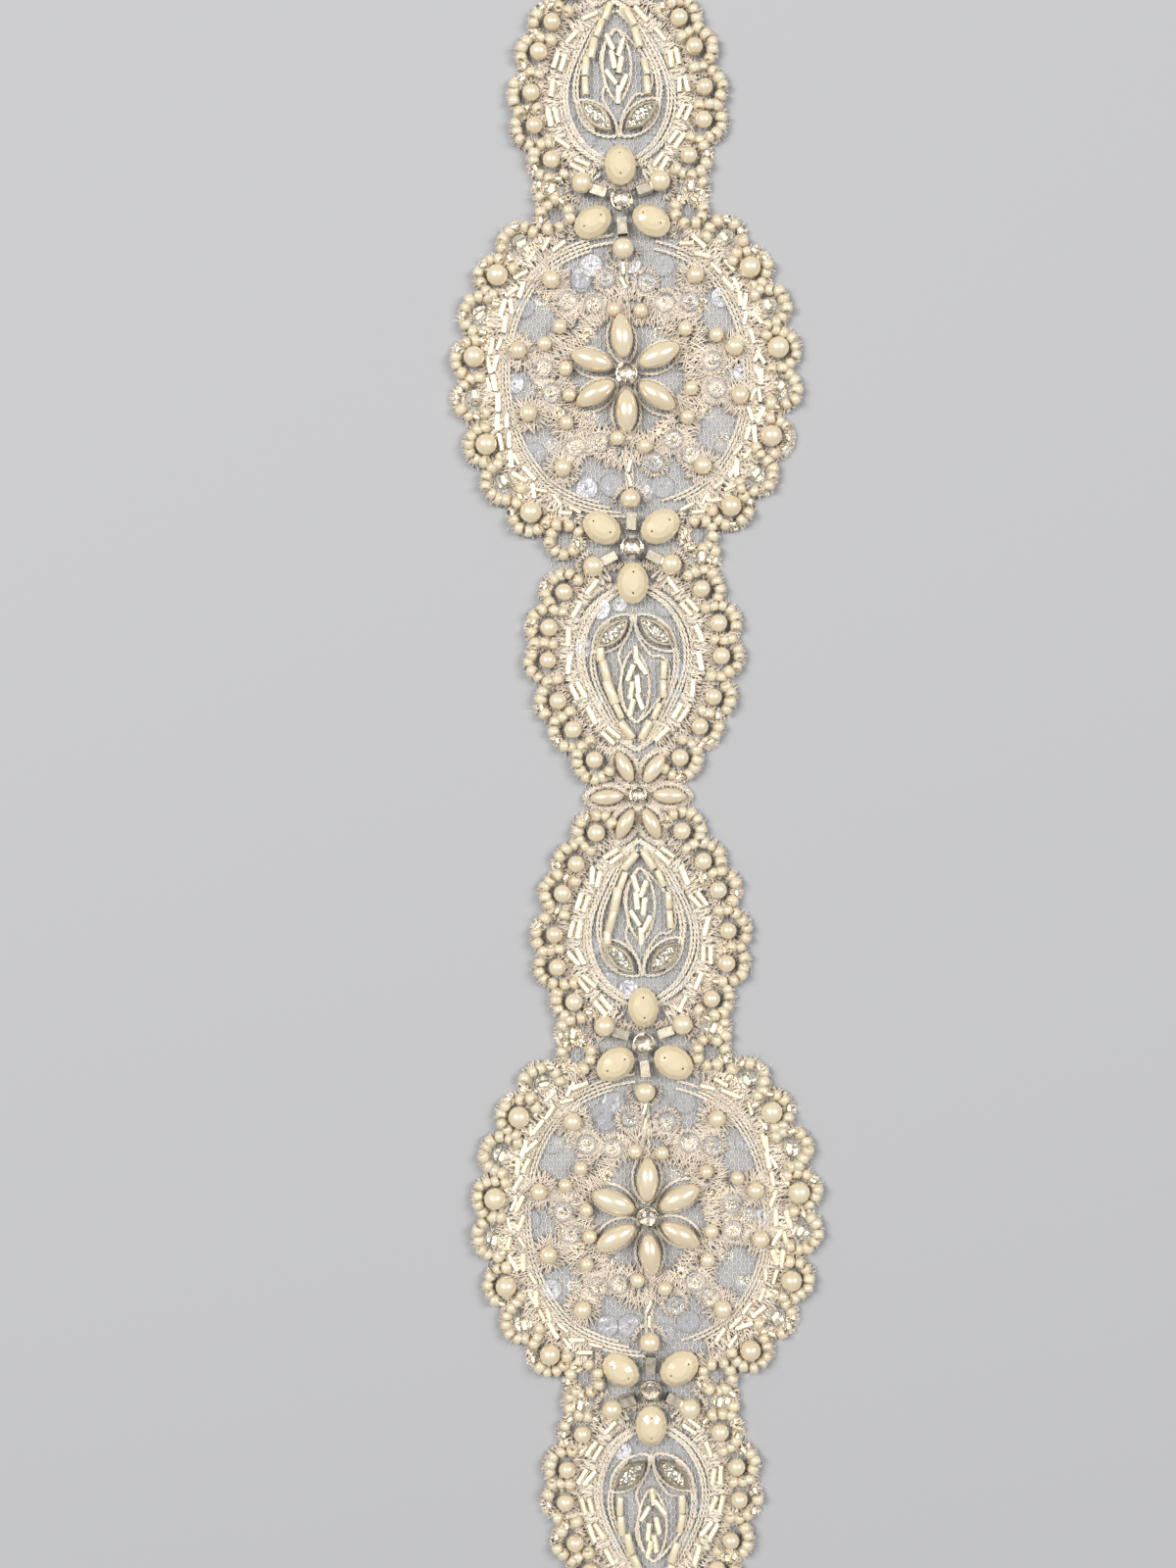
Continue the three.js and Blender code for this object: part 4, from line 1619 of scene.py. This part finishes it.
# %% [markdown]
# ## Bands in the round medallions and rosettes
#
# In a round medallion two bands lie under the bugles. Eight pearls are ringed, each on a spoke of
# stitches, and the spokes join into a broad wavy ring round the star. Short arcs hold the pearls
# of the rosettes, and narrow pointed loops go round the petals of the flowers.


# %% Measures: bands in the round medallions and rosettes
# Under the bugles: (radius at the waist, more at the diagonals, height, half width).
BORDER_BANDS = ((27.1, 2.7, 0.8, 1.4), (24.8, 2.5, 0.7, 1.6))
# Round the star: (radius, depth of the waves, how many waves, height, half width).
STAR_RINGS = ((12.1, 0.7, 6, 0.75, 2.0), (15.4, 0.9, 8, 0.65, 2.0))
ROSETTE_SCROLL = ((10.8, 0.0), (9.4, -3.4), (9.8, -6.6))


def wavy_ring(ring, radius, depth, waves, height):
    path = []
    for angle in range(0, 366, 6):
        swell = depth * math.cos(math.radians(waves * angle + 60))
        path.append(ring.polar(radius + swell, angle, height))
    return path


def pointed_loop(centre, turn, half_length, half_width, height, count=20):
    """A closed pointed oval round a place."""
    along, across = [way * MM for way in ways(turn)]
    path = []
    for k in range(count + 1):
        x = math.cos(math.tau * k / count)
        y = 0.0
        if 0 < k < count:
            y = math.copysign((1 - x * x) ** 0.75, math.sin(math.tau * k / count))
        path.append(raised(centre + along * x * half_length + across * y * half_width, height))
    return path


def round_bands():
    made = []
    for ring in ROUNDS:
        for start, end in two_arcs(66):
            for waist, more, height, half in BORDER_BANDS:
                made.append((ring_line(ring, waist, more, start, end, height), half))
        for radius, depth, waves, height, half in STAR_RINGS:
            made.append((wavy_ring(ring, radius, depth, waves, height), half))
        for radius, angle in RINGED_PEARLS:
            away = math.degrees(ring.heading(angle))
            broad = 2.5 if radius > 21.5 or angle > 220 else 1.9
            made.append((arc_round(ring.polar(radius, angle), 2.4, away, FULL, 0.75), 1.5))
            made.append(([ring.polar(radius - 1.8, angle, 0.65), ring.polar(14.5, angle, 0.65)], broad))
        for radius, angle in ROUND_CUPS:
            made.append((arc_round(ring.polar(radius, angle), 2.2, 0, FULL, 0.55), 0.6))
    return made


def rosette_bands():
    made = []
    for rosette in ROSETTE_PLACES:
        for side in SIDES:
            tilt = mirrored(ROSETTE_TILT, side)
            away = math.degrees(rosette.heading(tilt))
            made.append((arc_round(rosette.polar(SIDE_PEARL_REACH, tilt), 2.9, away, 100, 0.6), 0.6))
            made.append((line_in(rosette, ROSETTE_SCROLL, side, 0.6), 0.8))
        away = math.degrees(rosette.heading(-90))
        made.append((arc_round(rosette.at(0, -END_PEARL_REACH), 2.9, away, 90, 0.6), 0.5))
    return made


def loops_round(solids, half_length, half_width, height):
    """A pointed loop round each of these solids."""
    return [pointed_loop(*pointing(*solid), half_length, half_width, height) for solid in solids]


INNER_BANDS = LEAF_MEDALLION_BANDS + round_bands() + rosette_bands()
INNER_BANDS += [(loop, 0.7) for loop in loops_round(FLOWER_PETALS, 4.1, 2.3, 0.6)]
print("bands inside the edge:", len(INNER_BANDS))

# %% [markdown]
# ## Padding and stitches
#
# One tree lays all the stitches, three times over. Thick padding threads go first, in darker
# colours that are painted shade, because little light gets down to them. A smooth raised strip
# could pad the stitches as well, but it would show as a bare surface wherever they part. Fine
# stitches cover the padding, denser on the edge than inside.


# %% Pieces: embroidery
PAD_LINE = [(-0.86, 0, -0.3), (-0.66, 0, -0.18), (0.66, 0, -0.18), (0.86, 0, -0.3)]
STITCH_LINE = [(-0.9, 0.36, -0.2), (-0.97, 0.03, 0.06), (0.97, -0.03, 0.06), (0.9, -0.36, -0.2)]
PADDING = hidden(thread("padding", PAD_LINE, 0.28))
STITCH = hidden(thread("stitch", STITCH_LINE, 0.15))


def embroider(name, bands, finish, **values):
    halves = [half for _, half in bands]
    mesh = path_mesh(name + "_paths", [path for path, _ in bands], {"half_width": halves})
    piece = run_tree(name, mesh, SATIN, finish, **values)
    keep(piece, "embroidery")
    return piece


padding = dict(Stitch=PADDING, Spacing=0.52 * MM, Lean=0.12, Loft=0.05 * MM)
satin = dict(Stitch=STITCH, Jitter=0.32, Loft=0.45 * MM)
edge_satin = dict(Spacing=0.26 * MM, Seed=21, **satin)
inner_satin = dict(Spacing=0.29 * MM, Lean=0.4, Seed=22, **satin)
# The underlay is coloured in painted shade, darker than the stitches over it.
embroider("underlay", EDGE_BANDS + INNER_BANDS, SHADED_PADDING_THREAD, **padding)
edge_work = embroider("edge_embroidery", EDGE_BANDS, ECRU_THREAD, **edge_satin)
inner_work = embroider("inner_embroidery", INNER_BANDS, ECRU_THREAD, **inner_satin)

# %% [markdown]
# ## Stray fibres
#
# Spun thread is fuzzy: fine fibres stand out from it and catch the light. A hair system could grow
# them, but the part needs plain meshes. So the last tree of copies scatters one bent fibre over the
# surface of the finished stitches, each copy turned its own way.


# %% Tree and pieces: stray fibres
def make_fibres():
    inputs = {"Fibre": "object", "Density": 400000.0, "Lift": 0.35, "Seed": 61}
    tree, ins, outs = geometry_tree("stray_fibres", inputs)
    scatter = {"Mesh": ins["Geometry"], "Density": ins["Density"], "Seed": ins["Seed"]}
    spots = node(tree, "GeometryNodeDistributePointsOnFaces", scatter, out="Points")
    roll, heading = [between(tree, ins, k, 0.0, math.tau) for k in (1, 3)]
    turn = rotation(tree, roll, either_way(tree, ins, 2, ins["Lift"]), heading)
    copies_on(tree, ins, outs, "Fibre", spots, turn, between(tree, ins, 4, 0.6, 1.3))
    return tree


FIBRES = make_fibres()
FIBRE_LINE = [(0, 0, 0), (0.35, 0.12, 0.12), (0.75, 0.05, 0.16), (1.1, -0.15, 0.05)]
FIBRE = hidden(thread("fibre", FIBRE_LINE, 0.04))
for name, work, seed in (("edge_fibres", edge_work, 61), ("inner_fibres", inner_work, 62)):
    fuzz = run_tree(name, work.data.copy(), FIBRES, ECRU_THREAD, Fibre=FIBRE, Density=220000.0, Seed=seed)
    keep(fuzz, "embroidery")

# %% [markdown]
# ## Couched cord
#
# Finer drawing is done in couched cord, which is two plies twisted round each other and sewn down.
# One round tube would look like wire, and a twisted texture on it would vanish at its outline. So
# each ply is the path, moved round itself by an angle that grows with the length, and swept with a
# small profile.


# %% Tree: couched cord
def make_cord():
    inputs = {"Step": 0.6 * MM, "Ply Radius": 0.21 * MM, "Twist Length": 2.0 * MM, "Seed": 31}
    tree, ins, outs = geometry_tree("couched_cord", inputs)
    path = smooth_path(tree, ins["Geometry"], ins["Step"])
    upright = node(tree, "GeometryNodeSetCurveNormal", {0: path}, mode="Z_UP")
    thread_line = tinted(tree, ins, upright, low=0.2)
    length = node(tree, "GeometryNodeSplineParameter", out="Length")
    turns = maths(tree, "DIVIDE", length, ins["Twist Length"])
    normal = node(tree, "GeometryNodeInputNormal")
    plies = node(tree, "GeometryNodeJoinGeometry")
    for ply in (0.0, 0.5):
        angle = times(tree, maths(tree, "ADD", turns, ply), math.tau)
        aside = scaled(tree, normal, times(tree, maths(tree, "COSINE", angle), ins["Ply Radius"]))
        above = xyz(tree, z=times(tree, maths(tree, "SINE", angle), ins["Ply Radius"]))
        ply_line = moved(tree, thread_line, together(tree, aside, above))
        tree.links.new(swept(tree, ply_line, ins["Ply Radius"], closed_ends=True), plies.node.inputs[0])
    finish_tree(tree, plies, ins, outs)
    return tree


CORD = make_cord()
print("couched cord:", len(CORD.nodes), "nodes")

# %% [markdown]
# ## Cords in the leaf medallions and round the petals
#
# In a leaf medallion, double cords draw the outline of the window and two inner arcs a side.
# Single ones draw the middle leaf and the branches to the leaf stones. A cord also goes round
# every leaf stone and every petal of a star, and two go round every petal of a flower.


# %% Measures: cords in the leaf medallions
WINDOW = (
    (0.2, 8.4), (4.4, 11.4), (7.9, 15.2), (10.4, 20.5), (11.5, 26.5), (11.0, 31.0), (8.6, 35.4), (5.6, 38.0),
    (3.0, 39.5),
)
BRANCH_LEFT = (
    (0.0, 34.3), (-0.7, 31.1), (-2.9, 26.8), (-2.3, 23.7), (-3.1, 19.4), (-2.0, 16.2), (0.0, 13.8)
)
BRANCH_RIGHT = (
    (0.0, 34.3), (0.9, 30.0), (3.3, 26.4), (5.1, 26.3), (6.5, 24.4), (6.0, 20.5), (2.6, 15.8), (0.2, 13.8)
)
# The second cord of a pair lies beside the first: (out, along).
BESIDE = (-0.65, 0.1)


def leaf_cords():
    made = []
    for leaf in LEAVES:
        for side in SIDES:
            for line in (WINDOW, ARC_ONE, ARC_TWO):
                beside = [(out + BESIDE[0], along + BESIDE[1]) for out, along in line]
                made.append(line_in(leaf, line, side, 0.65))
                made.append(line_in(leaf, beside, side, 0.75))
        made.append(line_in(leaf, BRANCH_LEFT, 1, 0.7))
        made.append(line_in(leaf, BRANCH_RIGHT, 1, 0.7))
        made.append(pointed_loop(leaf.at(0, 20.7), leaf.heading(90), 7.0, 2.7, 0.7))
    made += [pointed_loop(spot, turn, 4.9, 2.5, 0.8) for spot, turn, _ in LEAF_STONE_ROWS]
    return made


def petal_cords():
    made = loops_round(STAR_PETALS, 5.0, 2.7, 0.6)
    near = loops_round(FLOWER_PETALS, 3.9, 2.15, 0.75)
    far = loops_round(FLOWER_PETALS, 4.4, 2.55, 0.6)
    for pair in zip(near, far):
        made += pair
    return made


FIRST_CORDS = leaf_cords() + petal_cords()
print("cords in the leaf medallions and round the petals:", len(FIRST_CORDS))

# %% [markdown]
# ## Cords in the round medallions, and zigzags
#
# Four strands follow the inside of a round medallion's border. They start and stop at different
# places, so the border tapers at its ends. A pair of cords runs above and below the star. Short
# zigzags hold the bands down between the bugles, each point of them a little uneven. One mesh of
# paths holds all the cords, so the tree runs only once.


# %% Piece: cords
BORDER_STRANDS = 4
# Half the distance between the two cords above a star.
STAR_CORD_OUT = 0.55
# The zigzags of a round medallion.
ZIGZAG_WAIST = 25.9
ZIGZAG_PITCH = 6.6
FIRST_ZIGZAG = 2.0
ZIGZAG_STEP = 0.66


def round_cords():
    made = []
    for ring in ROUNDS:
        for start, end in two_arcs(76):
            for k in range(BORDER_STRANDS):
                first, last = start + 5 * k, end - 5 * ((k * 2) % BORDER_STRANDS)
                made.append(ring_line(ring, 22.3 + 0.62 * k, 2.3 + 0.1 * k, first, last, 0.75))
        for angle in (90, -90):
            near, far = ring.polar(10.5, angle, 0.6), ring.polar(23.5, angle, 0.6)
            for out in (-STAR_CORD_OUT, STAR_CORD_OUT):
                shift = ring.across * out * MM
                made.append([near + shift, near.lerp(far, 0.5) + shift, far + shift])
    return made


def zigzags():
    chance = random.Random(17)
    lines = []
    for leaf in LEAVES:
        for side in SIDES:
            band = line_in(leaf, LEAF_BAND, side, 1.25)
            lines.append((walk(band, LEAF_BUGLE_PITCH, FIRST_BUGLE + LEAF_BUGLE_PITCH / 2), 1.5))
    for ring in ROUNDS:
        for ends in two_arcs(64):
            band = ring_line(ring, ZIGZAG_WAIST, BUGLE_MORE, *ends, 1.3)
            lines.append((walk(band, ZIGZAG_PITCH, FIRST_ZIGZAG), 1.3))
    made = []
    for places, half in lines:
        for spot, heading in places:
            along, across = [way * MM for way in ways(heading)]
            path = []
            for k in range(5):
                reach = half * (-1) ** k * chance.uniform(0.75, 1.15)
                path.append(spot + along * (k - 2) * ZIGZAG_STEP + across * reach)
            made.append(path)
    return made


all_cords = path_mesh("cord_paths", FIRST_CORDS + round_cords() + zigzags())
keep(run_tree("cords", all_cords, CORD, PALE_CORD), "embroidery")

# %% [markdown]
# ## The floor
#
# The helpers that Geometry Nodes copied are taken away first. The trim lies on a plain pale card,
# which bounces soft light back up through the net and the glass.


# %% Floor
FLOOR_REACH = 1.2
for helper in HELPERS:
    bpy.data.objects.remove(helper)

floor_mesh = bpy.data.meshes.new("floor")
corners = [Vector((x * FLOOR_REACH, y * FLOOR_REACH, 0)) for x, y in ((-1, -1), (1, -1), (1, 1), (-1, 1))]
floor_mesh.from_pydata(corners, [], [(0, 1, 2, 3)])
floor_mesh.materials.append(FLOOR_CARD)
floor = in_scene("floor", floor_mesh)
print("floor:", 2 * FLOOR_REACH, "m a side; helpers taken away:", len(HELPERS))

# %% [markdown]
# ## Light and camera
#
# A pearl shows each lamp as a highlight. Two soft overhead lamps, one to either side, give each
# pearl its pair, and a plain pale world fills the shadows. The camera stands straight above and is
# turned a little, so that the strip leans as it does on a table. The plain view transform keeps
# the cream and ecru as pale as they are.


# %% Lights and camera
WARM_WHITE = (1.0, 0.98, 0.95)
# The camera looks down on this place from this height, turned by this slope.
TARGET = Vector((-0.0092, 0.00236, 0.002))
EYE_HEIGHT = 0.4115
LEAN = 0.0245


def lamp(name, place, wide, tall, power):
    """An oval area lamp that points at the middle of the frame."""
    light = bpy.data.lights.new(name, "AREA")
    light.shape = "ELLIPSE"
    light.size = wide
    light.size_y = tall
    light.energy = power
    light.color = WARM_WHITE
    holder = in_scene(name, light)
    holder.location = place
    holder.rotation_euler = (-Vector(place)).to_track_quat("-Z", "Y").to_euler()


lamp("left_lamp", (-0.58, 0.26, 1.05), wide=0.4, tall=0.7, power=10.6)
lamp("right_lamp", (0.70, 0.22, 1.00), wide=0.36, tall=0.65, power=7.2)

world = bpy.data.worlds.new("soft_grey")
world.use_nodes = True
background = world.node_tree.nodes["Background"].inputs
background["Color"].default_value = (0.94, 0.96, 1.0, 1)
background["Strength"].default_value = 0.42
bpy.context.scene.world = world

eye = bpy.data.cameras.new("camera")
eye.lens = 50.0
eye.sensor_width = 36.0
eye.clip_start = 0.02
camera = in_scene("camera", eye)
camera.location = TARGET + Vector((0, 0, EYE_HEIGHT))
camera.rotation_euler = (0, 0, -math.atan(LEAN))
bpy.context.scene.camera = camera
bpy.context.scene.view_settings.view_transform = "Standard"
print("lamps: 2; camera", round(camera.location.z, 3), "m above the floor")
